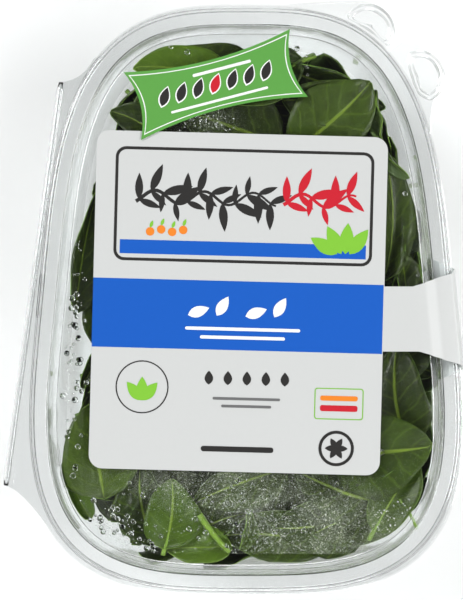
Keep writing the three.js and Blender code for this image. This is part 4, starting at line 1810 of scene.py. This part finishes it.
@dataclass
class SpinachHeap:
    """The heap of loose leaves: the ones that show, those under them, and those against wall and floor."""

    outline: BodyOutline
    seed: int = 7
    thick: float = 0.4
    ceiling: float = 67.5
    floor_z: float = 4.4
    wall_clear: float = 1.9
    groove_clear: float = 2.9
    # where the heap stands back from the wall: way round in degrees, how far, and spread in degrees
    gaps: Sequence[tuple[float, float, float]] = (
        (84, 7, 34), (46, 5, 16), (22, 5, 9), (128, 6, 14), (165, 15, 22), (188, 13, 9), (232, 15.5, 11),
        (307, 5.5, 12),
    )
    # height and pitch of the layers under the leaves that show
    deep_layers: Sequence[Flat] = ((38, 25), (44, 25), (49, 24))
    # height and pitch of the rows against the wall
    wall_rows: Sequence[Flat] = ((13, 27), (44, 30), (29, 27))
    # height of the core's rings, and how far inside the outline they are
    core_rings: Sequence[Flat] = (
        (7, 30), (8.5, 22), (14, 15), (22, 13), (30, 12), (36, 14), (39, 20), (40, 34),
    )
    # painted shade: the core's near-black tone stands for the shade deep inside the heap
    core_shade_tone: Flat = (0.05, 0.5)
    width_shares: Flat = (0.55, 0.75)  # a loose blade's width as a share of its length
    upper: MeshDraft = field(default_factory=MeshDraft)
    lower: MeshDraft = field(default_factory=MeshDraft)
    sides: MeshDraft = field(default_factory=MeshDraft)

    def __post_init__(self) -> None:
        """Start the heap's own random source."""
        self.rng = random.Random(self.seed)

    def gap_at(self, turn: float) -> float:
        """Give how far the heap stands back from the wall at a turn."""
        degrees = math.degrees(turn) % 360
        return sum(gap * math.exp(-(((degrees - at) / spread) ** 2)) for at, gap, spread in self.gaps)

    def held(self, p: Vector, factor: float = 1.0) -> Vector:
        """Keep a point of a leaf inside the wall and out of the heap's bare places.

        Args:
            p: the point.
            factor: how strictly it keeps out of the bare places.

        Returns:
            The point, pulled in where it has to be.
        """
        clear = self.wall_clear + factor * self.gap_at(self.outline.turn_at(p.x, p.y))
        lean = wall_lean(p.z)
        under_groove = max(clear, self.wall_clear + self.groove_clear * smooth_step(59, 63, p.z))
        x, y = self.outline.held_inside(p.x, p.y, -under_groove - lean, -clear - lean)
        return Vector((x, y, p.z))

    def add_leaf(
        self, draft: MeshDraft, rows: list[list[Vector]], stalk: float, tone: Flat, turned: bool
    ) -> None:
        """Add a settled leaf with its two faces, edge and stalk.

        Args:
            draft: the piece that takes it.
            rows: the blade's points as they lie.
            stalk: the stalk's length.
            tone: brightness and age of this leaf.
            turned: whether its underside shows.
        """
        along, across = len(rows), len(rows[0])
        normals = []
        for r in range(along):
            for k in range(across):
                run = rows[min(r + 1, along - 1)][k] - rows[max(r - 1, 0)][k]
                side = rows[r][min(k + 1, across - 1)] - rows[r][max(k - 1, 0)]
                normals.append(run.cross(side).normalized())
        points = [p for row in rows for p in row]
        blade = [(r / (along - 1), k / (across - 1)) for r in range(along) for k in range(across)]
        first = draft.add_points(points, blade, tone)
        under = draft.add_points([p - n * self.thick for p, n in zip(points, normals)], blade, tone)
        face, back = (1, 0) if turned else (0, 1)
        draft.add_rows(first, along, across, finish=face)
        draft.add_rows(under, along, across, finish=back, flip=True)
        rim = [*range(across)]
        rim += [r * across + across - 1 for r in range(1, along)]
        rim += [(along - 1) * across + k for k in range(across - 2, -1, -1)]
        rim += [r * across for r in range(along - 2, 0, -1)]
        for a, b in zip(rim, [*rim[1:], rim[0]]):
            draft.add_face((first + b, first + a, under + a, under + b), 2)
        if stalk > 0:
            self.add_stalk(draft, rows, stalk, tone)

    def add_stalk(self, draft: MeshDraft, rows: list[list[Vector]], stalk: float, tone: Flat) -> None:
        """Add the stalk, which runs on into the blade as its midrib.

        Args:
            draft: the piece that takes it.
            rows: the blade's points as they lie.
            stalk: the stalk's length.
            tone: brightness and age of this leaf.
        """
        middle = len(rows[0]) // 2
        spine = [rows[r][middle] - Vector((0, 0, 0.25)) for r in range(7, -1, -1)]
        heading = (spine[-1] - spine[-3]).normalized()
        sag = Vector((self.rng.uniform(-0.25, 0.25), self.rng.uniform(-0.25, 0.25), self.rng.uniform(-0.3, 0.05)))
        steps = 6
        for k in range(1, steps + 1):
            spot = spine[7] + heading * (stalk * k / steps) + sag * stalk * 0.35 * (k / steps) ** 2
            if (self.held(spot, 0.3) - spot).length > 0.4:
                break
            spine.append(Vector((*spot.xy, max(self.floor_z, min(spot.z, self.ceiling)))))
        self.add_tube(draft, spine, [0.15 + 0.8 * smooth_step(0, 9, i) for i in range(len(spine))], tone)

    def add_tube(self, draft: MeshDraft, spine: list[Vector], radii: list[float], tone: Flat) -> None:
        """Add a stalk's tube along its spine.

        Args:
            draft: the piece that takes it.
            spine: its middle line.
            radii: the radius at each point of the line.
            tone: brightness and age.
        """
        sides = 8
        rings = []
        for i, (spot, radius) in enumerate(zip(spine, radii)):
            run = heading_at(spine, i)
            side = run.cross(Vector((0, 0, 1)))
            side = side.normalized() if side.length > 0.05 else Vector((1, 0, 0))
            up = side.cross(run)
            turns = (2 * math.pi * k / sides for k in range(sides))
            rings.append([
                spot + side * (radius * math.cos(t)) + up * (radius * 0.8 * math.sin(t)) for t in turns
            ])
        draft.add_shell(rings, 2, tone)

    def shape_of(self, length: float, width: float, stalk: float) -> LeafShape:
        """Draw the random traits of a leaf of a given size.

        Args:
            length: the blade's length.
            width: the blade's width.
            stalk: the stalk's length.

        Returns:
            The leaf.
        """
        cup, bend, wave = self.rng.uniform(1.5, 4.5), self.rng.uniform(3, 9), self.rng.uniform(0.7, 1.6)
        return LeafShape(length, width, cup, bend, wave, stalk, self.rng.uniform(0, 6.28))

    def loose_shape(self, lengths: Flat, stalks: Flat | None = None) -> LeafShape:
        """Draw the size and traits of a loose leaf.

        Args:
            lengths: the shortest and the longest blade.
            stalks: the shortest and the longest stalk, or None for no stalk.

        Returns:
            The leaf.
        """
        length = self.rng.uniform(*lengths)
        width = length * self.rng.uniform(*self.width_shares)
        return self.shape_of(length, width, self.rng.uniform(*stalks) if stalks else 0.0)

    def loose_turns(self, tip: float, edge: float) -> Euler:
        """Draw how a loose leaf lies: at most tip and edge radians from level, headed any way."""
        return Euler((self.rng.uniform(-tip, tip), self.rng.uniform(-edge, edge), self.rng.uniform(0, 6.28)))

    def lay_leaf(
        self, bed: Bed, draft: MeshDraft, spot: Vector, turns: Euler, shape: LeafShape, tone: Flat, turned: bool,
        factor: float = 1.0,
    ) -> None:
        """Turn a leaf, set it down in a bed and add it.

        Args:
            bed: the bed that it settles in.
            draft: the piece that takes it.
            spot: where the blade's middle goes.
            turns: how the leaf is turned.
            shape: the leaf.
            tone: its tone.
            turned: whether its underside shows.
            factor: how strictly it keeps out of the heap's bare places.
        """
        spin = turns.to_matrix()
        rows = [[spin @ p + spot for p in row] for row in shape.rows()]
        worst = max((self.held(p, factor) - p for row in rows for p in row), key=lambda step: step.length_squared)
        rows = [[self.held(p + 0.85 * worst, factor) for p in row] for row in rows]
        bed.settle(rows)
        rows = [[self.held(p, factor) for p in row] for row in rows]
        bed.lay(rows, 0.1)
        self.add_leaf(draft, rows, shape.stalk, tone, turned)

    def fill_top(self) -> None:
        """Lay the leaves of the top from the deepest to the ones that touch the lid."""
        bed = Bed((-90, -115), (90, 115), 30.0, self.ceiling)
        for layer, (z, pitch) in enumerate(self.deep_layers):
            for x, y in self.scatter(pitch, 12):
                shape = self.loose_shape((34, 50), (8, 18))
                turns = self.loose_turns(0.35, 0.3)
                # painted shade: the leaves under the ones that show get dark tones for the shade deep in the heap
                tone = (self.rng.uniform(0.0, 0.2), self.rng.random())
                draft = self.upper if layer == 2 else self.lower
                self.lay_leaf(bed, draft, Vector((x, y, z)), turns, shape, tone, self.rng.random() < 0.25)
        for leaf in sorted(SHOWN_LEAVES, key=lambda item: -item.depth):
            shape = self.shape_of(leaf.length, leaf.width, leaf.stalk)
            shape.fold = leaf.fold
            turns = Euler([math.radians(t) for t in (leaf.edge, -leaf.tip, leaf.heading)])
            spot = Vector((leaf.x, leaf.y, self.ceiling + 0.8 - leaf.depth))
            # the shown leaves' tones hold painted light and shade besides their own tone
            tone = (leaf.tone**2, self.rng.random())
            self.lay_leaf(bed, self.upper, spot, turns, shape, tone, leaf.turned, leaf.held_back)
        for x0, y0, x1, y1, depth, radius in LOOSE_STALKS:
            self.add_loose_stalk(Vector((x0, y0)), Vector((x1, y1)), self.ceiling - depth, radius)

    def add_loose_stalk(self, start: Vector, end: Vector, z: float, radius: float) -> None:
        """Add a stalk that lies loose among the leaves, a little bowed.

        Args:
            start: one end, seen from above.
            end: the other end.
            z: its height.
            radius: its radius at the thick end.
        """
        bow = (end - start).orthogonal() * self.rng.uniform(-0.08, 0.08)
        spine = []
        for k in range(9):
            share = k / 8
            spot = start.lerp(end, share) + bow * math.sin(math.pi * share)
            spine.append(Vector((*spot, z + 0.6 * math.sin(math.pi * share))))
        radii = [radius * (1 - 0.35 * k / 8) for k in range(9)]
        self.add_tube(self.upper, spine, radii, (0.7, 0.5))

    def scatter(self, pitch: float, inset: float) -> list[Flat]:
        """Spread places over the heap's plan, about a pitch apart, in a random order.

        Args:
            pitch: how far apart they are.
            inset: how far they keep inside the outline.

        Returns:
            The places.
        """
        spots = []
        y = -112.0
        while y < 112:
            x = -80.0
            while x < 80:
                px, py = x + self.rng.uniform(-0.4, 0.4) * pitch, y + self.rng.uniform(-0.4, 0.4) * pitch
                clear = inset + self.gap_at(self.outline.turn_at(px, py))
                if (Vector(self.outline.held_inside(px, py, -clear)) - Vector((px, py))).length < 1:
                    spots.append((px, py))
                x += pitch
            y += pitch * 0.9
        self.rng.shuffle(spots)
        return spots

    def fill_floor(self) -> None:
        """Lay leaves on the tray's floor, seen from below, their undersides up."""
        bed = Bed((-90, -115), (90, 115), 3.2, 40.0)
        for x, y in self.scatter(24, 13):
            shape = self.loose_shape((34, 48), (8, 16))
            turns = self.loose_turns(0.2, 0.2)
            tone = (self.rng.uniform(0.3, 0.8), self.rng.random())
            self.lay_leaf(bed, self.sides, Vector((x, y, 5.0)), turns, shape, tone, self.rng.random() < 0.5, 0.9)

    def fill_wall(self) -> None:
        """Lay leaves against the wall in its own flat coordinates: way round, height and depth behind it."""
        lengths = [0.0]
        dense = self.outline.dense
        for a, b in zip(dense, [*dense[1:], dense[0]]):
            lengths.append(lengths[-1] + (b.point - a.point).length)
        whole = lengths[-1]
        bed = Bed((-60, 0), (whole + 60, 62), 0.0, 30.0)

        def on_wall(p: Vector) -> Vector:
            """Take a place in the wall's flat coordinates to the pack.

            Args:
                p: way round, height and depth.

            Returns:
                The point.
            """
            way = p.x % whole
            low, high = 0, len(dense) - 1
            while low < high:
                mid = (low + high) // 2
                if lengths[mid + 1] < way:
                    low = mid + 1
                else:
                    high = mid
            station = dense[low]
            z = max(3.2, min(self.ceiling - 3, p.y))
            floor_bend = 3.0 * smooth_step(11, 4, z)
            inset = self.wall_clear - 0.6 + wall_lean(z) + floor_bend + p.z + 0.85 * self.gap_at(station.turn)
            return self.outline.ring_point(station, -inset, z, 1.0 - z / 62)

        for row_z, pitch in self.wall_rows:
            count = round(whole / pitch)
            for k in range(count):
                shape = self.loose_shape((32, 46))
                way = whole * (k + self.rng.uniform(-0.25, 0.25)) / count
                spot = Vector((way, row_z + self.rng.uniform(-4, 4), 1.2))
                turns = self.loose_turns(0.25, 0.2)
                spin = turns.to_matrix()
                rows = [[spin @ p + spot for p in row] for row in shape.rows()]
                for row in rows:
                    for p in row:
                        p.y = max(3.4, min(60.0, p.y))
                bed.settle(rows)
                bed.lay(rows, 0.3)
                placed = [[on_wall(p) for p in row] for row in rows]
                tone = (self.rng.uniform(0.25, 0.8), self.rng.random())
                self.add_leaf(self.sides, placed, 0.0, tone, self.rng.random() < 0.6)

    def core(self) -> MeshDraft:
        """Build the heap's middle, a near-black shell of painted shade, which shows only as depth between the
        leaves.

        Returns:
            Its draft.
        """
        draft = MeshDraft()
        stations = self.outline.stations(96)
        rings = []
        for z, inset in self.core_rings:
            ring = []
            for s in stations:
                lump = 2.4 * lattice.noise(Vector((s.point.x / 14, s.point.y / 14, z / 12)))
                offset = -(inset + lump + 0.9 * self.gap_at(s.turn))
                ring.append(self.outline.ring_point(s, offset, z + 1.5 * lump, 1.0 - z / 62))
            rings.append(ring)
        draft.add_shell(rings, 0, self.core_shade_tone, fans=True)
        return draft

    def build(self) -> None:
        """Build the heap's pieces and dress them."""
        # the upper side's near-black deep colour is where low tones put the painted shade of leaves deep in the
        # heap
        blade = LeafSkin("spinach_upper_side", "0A1305", "415B10", "718829", 0.62, roughness=0.38)
        back = LeafSkin("spinach_underside", "293A1B", "4F6630", "6E8148", 0.7, 0.5)
        stalk = LeafSkin("spinach_stalk", "56752A", "769436", "769436", 0.2, 0.4)
        skins = [skin.make() for skin in (blade, back, stalk)]
        self.fill_top()
        self.fill_floor()
        self.fill_wall()
        for name, draft in (
            ("heap_shade_core", self.core()),
            ("top_leaves", self.upper),
            ("under_leaves", self.lower),
            ("wall_leaves", self.sides),
        ):
            mount(draft.make(name, skins), "spinach_leaves")


# Condensation


@dataclass
class Condensation:
    """Water on the inside of the lid: a film of mist, and drops from fine to large."""

    outline: BodyOutline
    seed: int = 21
    lid_inner_z: float = 68.52
    panel_inset: float = 6.0
    film_depth: float = 0.1
    film_pitch: float = 2.5
    # middle across and along, spread across and along, thickness
    misty: Sequence[tuple[float, ...]] = (
        (-22, -73, 34, 9, 0.75), (18, -90, 26, 19, 1.0), (49, -88, 20, 16, 0.5), (-58, -96, 12, 11, 0.4),
        (-16, 71, 12, 9, 0.6), (-72, -12, 5, 34, 0.3), (-28, -104, 26, 5, 0.4), (12, -106, 40, 5, 0.5),
    )
    # middle across and along, spread across and along
    clear: Sequence[tuple[float, ...]] = (
        (-31, -93, 13, 6), (-10, -95, 9, 8), (-18, -103, 12, 4), (62, -72, 14, 10), (17, -84, 7, 5),
        (-46, -84, 6, 10),
    )
    # middle across and along, spread across and along, count, smallest and largest radius
    fine_zones: Sequence[tuple[float, ...]] = (
        (-2, -88, 55, 22, 3000, 0.1, 0.2), (-55, -96, 20, 10, 1100, 0.12, 0.28), (-18, 72, 14, 8, 220, 0.12, 0.3),
        (62, -86, 14, 12, 160, 0.12, 0.34), (-70, -20, 6, 55, 420, 0.15, 0.4),
    )
    drop_zones: Sequence[tuple[float, ...]] = (
        (-2, -86, 60, 24, 70, 0.5, 1.25), (-69, -15, 6, 60, 60, 0.5, 1.25), (-56, -90, 18, 12, 36, 0.5, 1.25),
        (70, 20, 8, 60, 20, 0.5, 1.25), (0, 96, 50, 8, 16, 0.5, 1.25),
    )

    def __post_init__(self) -> None:
        """Start the drops' own random source."""
        self.rng = random.Random(self.seed)

    def add_bead(self, draft: MeshDraft, spot: Vector, away: Vector, radius: float) -> None:
        """Add one domed bead.

        Args:
            draft: the piece that takes it.
            spot: where it sits.
            away: the direction that it bulges in.
            radius: its foot's radius.
        """
        side = away.orthogonal().normalized()
        other = away.cross(side)
        sides = 7 if radius < 0.7 else 12
        spin, stretch = self.rng.uniform(0, 6.28), self.rng.uniform(0.85, 1.15)
        height = radius * self.rng.uniform(0.45, 0.65)
        points = []
        for share, lift in ((1.0, 0.0), (0.86, 0.5), (0.5, 0.87)):
            for k in range(sides):
                t = spin + 2 * math.pi * k / sides
                flat = side * (radius * stretch * share * math.cos(t)) + other * (radius * share * math.sin(t))
                points.append(spot + flat + away * (height * lift))
        points.append(spot + away * height)
        first = draft.add_points(points)
        draft.add_rows(first, 3, sides, closed=True)
        for k in range(sides):
            draft.add_face((first + 2 * sides + k, first + 2 * sides + (k + 1) % sides, first + 3 * sides))
        draft.add_face(range(first, first + sides))

    def on_panel(self, x: float, y: float) -> bool:
        """Say whether a place is on the lid's flat panel."""
        px, py = self.outline.held_inside(x, y, -self.panel_inset)
        return abs(px - x) + abs(py - y) < 1e-6

    def mist_at(self, x: float, y: float) -> float:
        """Give how thick the mist is at a place on the lid, from 0 to 1.

        Args:
            x: place across.
            y: place along.

        Returns:
            The thickness.
        """
        thick = 0.0
        for at_x, at_y, wide, long, share in self.misty:
            thick += share * math.exp(-(((x - at_x) / wide) ** 2) - ((y - at_y) / long) ** 2)
        for at_x, at_y, wide, long in self.clear:
            thick *= 1 - 0.85 * math.exp(-(((x - at_x) / wide) ** 2) - ((y - at_y) / long) ** 2)
        return max(0.0, min(1.0, 1.15 * thick - 0.04))

    def add_mist(self, draft: MeshDraft) -> None:
        """Add the mist as a film just under the lid's panel, with its thickness at each point.

        Args:
            draft: the piece that takes it.
        """
        z, pitch = self.lid_inner_z - self.film_depth, self.film_pitch
        numbers: dict[tuple[int, int], int] = {}
        for i in range(-32, 33):
            for j in range(-46, 46):
                x, y = self.outline.held_inside(i * pitch, j * pitch, -5.6)
                y = max(y, self.outline.stand_face_y + 1.5)
                thick = self.mist_at(x, y)
                if thick > 0.02:
                    numbers[i, j] = draft.add_points([Vector((x, y, z))], None, (thick, 0.0))
        for i, j in numbers:
            corners = [numbers.get(key) for key in ((i, j), (i + 1, j), (i + 1, j + 1), (i, j + 1))]
            spots = [draft.points[n] for n in corners if n is not None]
            if len(spots) == 4 and (spots[2] - spots[0]).length > 0.8 * pitch:
                draft.add_face(corners)

    def add_drops(self, draft: MeshDraft, zones: Sequence[tuple[float, ...]], with_mist: bool) -> None:
        """Scatter drops over the zones of the lid's panel.

        Args:
            draft: the piece that takes them.
            zones: where they are, how many and how large.
            with_mist: whether they grow thinner with the mist.
        """
        for x, y, wide, long, count, small, large in zones:
            for _ in range(count):
                px, py = x + self.rng.gauss(0, 0.5) * wide, y + self.rng.gauss(0, 0.5) * long
                if self.on_panel(px, py) and not (with_mist and self.rng.random() >= 0.12 + self.mist_at(px, py)):
                    spot = Vector((px, py, self.lid_inner_z))
                    self.add_bead(draft, spot, Vector((0, 0, -1)), self.rng.uniform(small, large))

    def build(self) -> None:
        """Build the mist, the large drops and the fine ones."""
        mist, drops, fog = MeshDraft(), MeshDraft(), MeshDraft()
        self.add_mist(mist)
        mount(mist.make("mist_film", [MistFilm().make()], closed=False))
        self.add_drops(fog, self.fine_zones, True)
        self.add_drops(drops, self.drop_zones, False)
        mount(drops.make("water_drops", [WaterBead("clear_water", 1.0).make()]))
        mount(fog.make("water_fog", [WaterBead("fine_condensation", 0.8, 0.25).make()]))


# Studio


@dataclass
class Studio:
    """A plain pale floor, soft lamps, and the camera straight above the pack."""

    eye_x: float = -5.64
    lid_z: float = 68.8
    distance: float = 1100.0
    frame_height: float = 240.0
    sensor: float = 36.0
    board_size: float = 5200.0
    board_thick: float = 8.0
    lamp_size: float = 0.8
    # name, place in metres and power in watts
    lamps: Sequence[tuple[str, tuple[float, float, float], float]] = (
        ("left_box", (-1.15, 0.55, 1.15), 19.0),
        ("right_box", (1.2, -0.1, 1.1), 16.2),
        ("near_box", (0.1, -1.3, 1.0), 10.4),
    )

    def build(self) -> None:
        """Build floor, lamps, sky and camera."""
        self.build_floor()
        self.build_lamps()
        self.build_sky()
        view = bpy.data.cameras.new("camera")
        view.sensor_width = self.sensor
        view.lens = self.sensor * self.distance / self.frame_height
        view.clip_start, view.clip_end = 0.05, 20
        camera = add_object("camera", view)
        camera.location = Vector((self.eye_x, 0, self.lid_z + self.distance)) * MM
        bpy.context.scene.camera = camera
        bpy.context.scene.view_settings.view_transform = "Standard"

    def build_floor(self) -> None:
        """Build the floor as a wide matte board."""
        draft = MeshDraft()
        draft.add_prism(rounded_box(0, 0, self.board_size, self.board_size, 60), -self.board_thick, -0.02)
        board = draft.make("floor", [CoatedPaper("matte_board", "F5F6F6", 0.9, 40, 0.01).make()], smooth=False)

    def build_lamps(self) -> None:
        """Build the soft boxes, all well off the camera's axis so that the flat lid doesn't mirror them."""
        for name, spot, power in self.lamps:
            data = bpy.data.lights.new(name, "AREA")
            data.shape, data.size, data.energy = "SQUARE", self.lamp_size, power
            lamp = add_object(name, data)
            lamp.location = spot
            lamp.rotation_euler = (-Vector(spot)).to_track_quat("-Z", "Y").to_euler()

    def build_sky(self) -> None:
        """Build the white surround, dimmer straight overhead where the lid mirrors it."""
        world = bpy.data.worlds.new("surround")
        world.use_nodes = True
        tree = world.node_tree
        tree.nodes.clear()
        split = add_node(tree, "SeparateXYZ", {0: add_node(tree, "TexCoord")["Generated"]})
        rise = add_range(tree, split["Z"], (0.4, 0.88), (0.62, 0.05))
        sky = add_node(tree, "Background", {"Color": (1, 1, 1, 1), "Strength": rise})[0]
        add_node(tree, "OutputWorld", {"Surface": sky})
        bpy.context.scene.world = world


# Assembly


# the tray's profile from the rib in its floor to the skirt's foot
TRAY_BENDS = (
    Bend(-32.74, 0.35, 0, 1),
    Bend(-31.3, 2.15, 1.2, 1),
    Bend(-25.3, 2.15, 1.2, 1),
    Bend(-23.86, 0.35, 1.2, 1),
    Bend(-9.3, 0.35, 2.5, 1),
    Bend(-5.76, 1.81, 4.0, 1),
    Bend(-4.3, 5.35, 3.0, 1),
    Bend(-0.3, WALL_TOP_Z, 2.0, 0),
    Bend(0.1, 65.6, 0.8),
    Bend(5.1, 65.6, 0.9),
    Bend(5.6, 61.6, 0.7),
    Bend(6.3, 61.6),
)

# the lid's profile from the panel's shoulder to the skirt's foot
LID_BENDS = (
    Bend(-5.6, 68.8, 0),
    Bend(-4.3, 68.8, 1.2),
    Bend(-2.3, 64.1, 0.6),
    Bend(-1.7, 64.1, 0.6),
    Bend(-0.2, 66.7, 0.9),
    Bend(6.2, 66.7, 1.0),
    Bend(6.7, 62.7, 0.7),
    Bend(7.2, 62.7),
)


def main() -> None:
    logging.basicConfig(level=logging.INFO, format="%(message)s")
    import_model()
    outline, flap = BodyOutline(), HingeFlap()
    pet = ClearPet().make()
    FormedSheet("tray", "tray", outline, flap, TRAY_TAB, TRAY_BENDS, 7.4, 6.3, 61.6).build(pet)
    FormedSheet("lid", "lid", outline, flap, LID_TAB, LID_BENDS, 7.8, 7.2, 62.7).build(pet)
    flap.build(pet)
    label = Label(outline)
    label.build(CoatedPaper("label_paper", "C7C9C8").make())
    print_label(label)
    Sticker().build(CoatedPaper("sticker_film", "5D9E49", 0.32, 2.0, 0.06).make())
    SpinachHeap(outline).build()
    Condensation(outline).build()
    Studio().build()


if __name__ == "__main__":
    main()
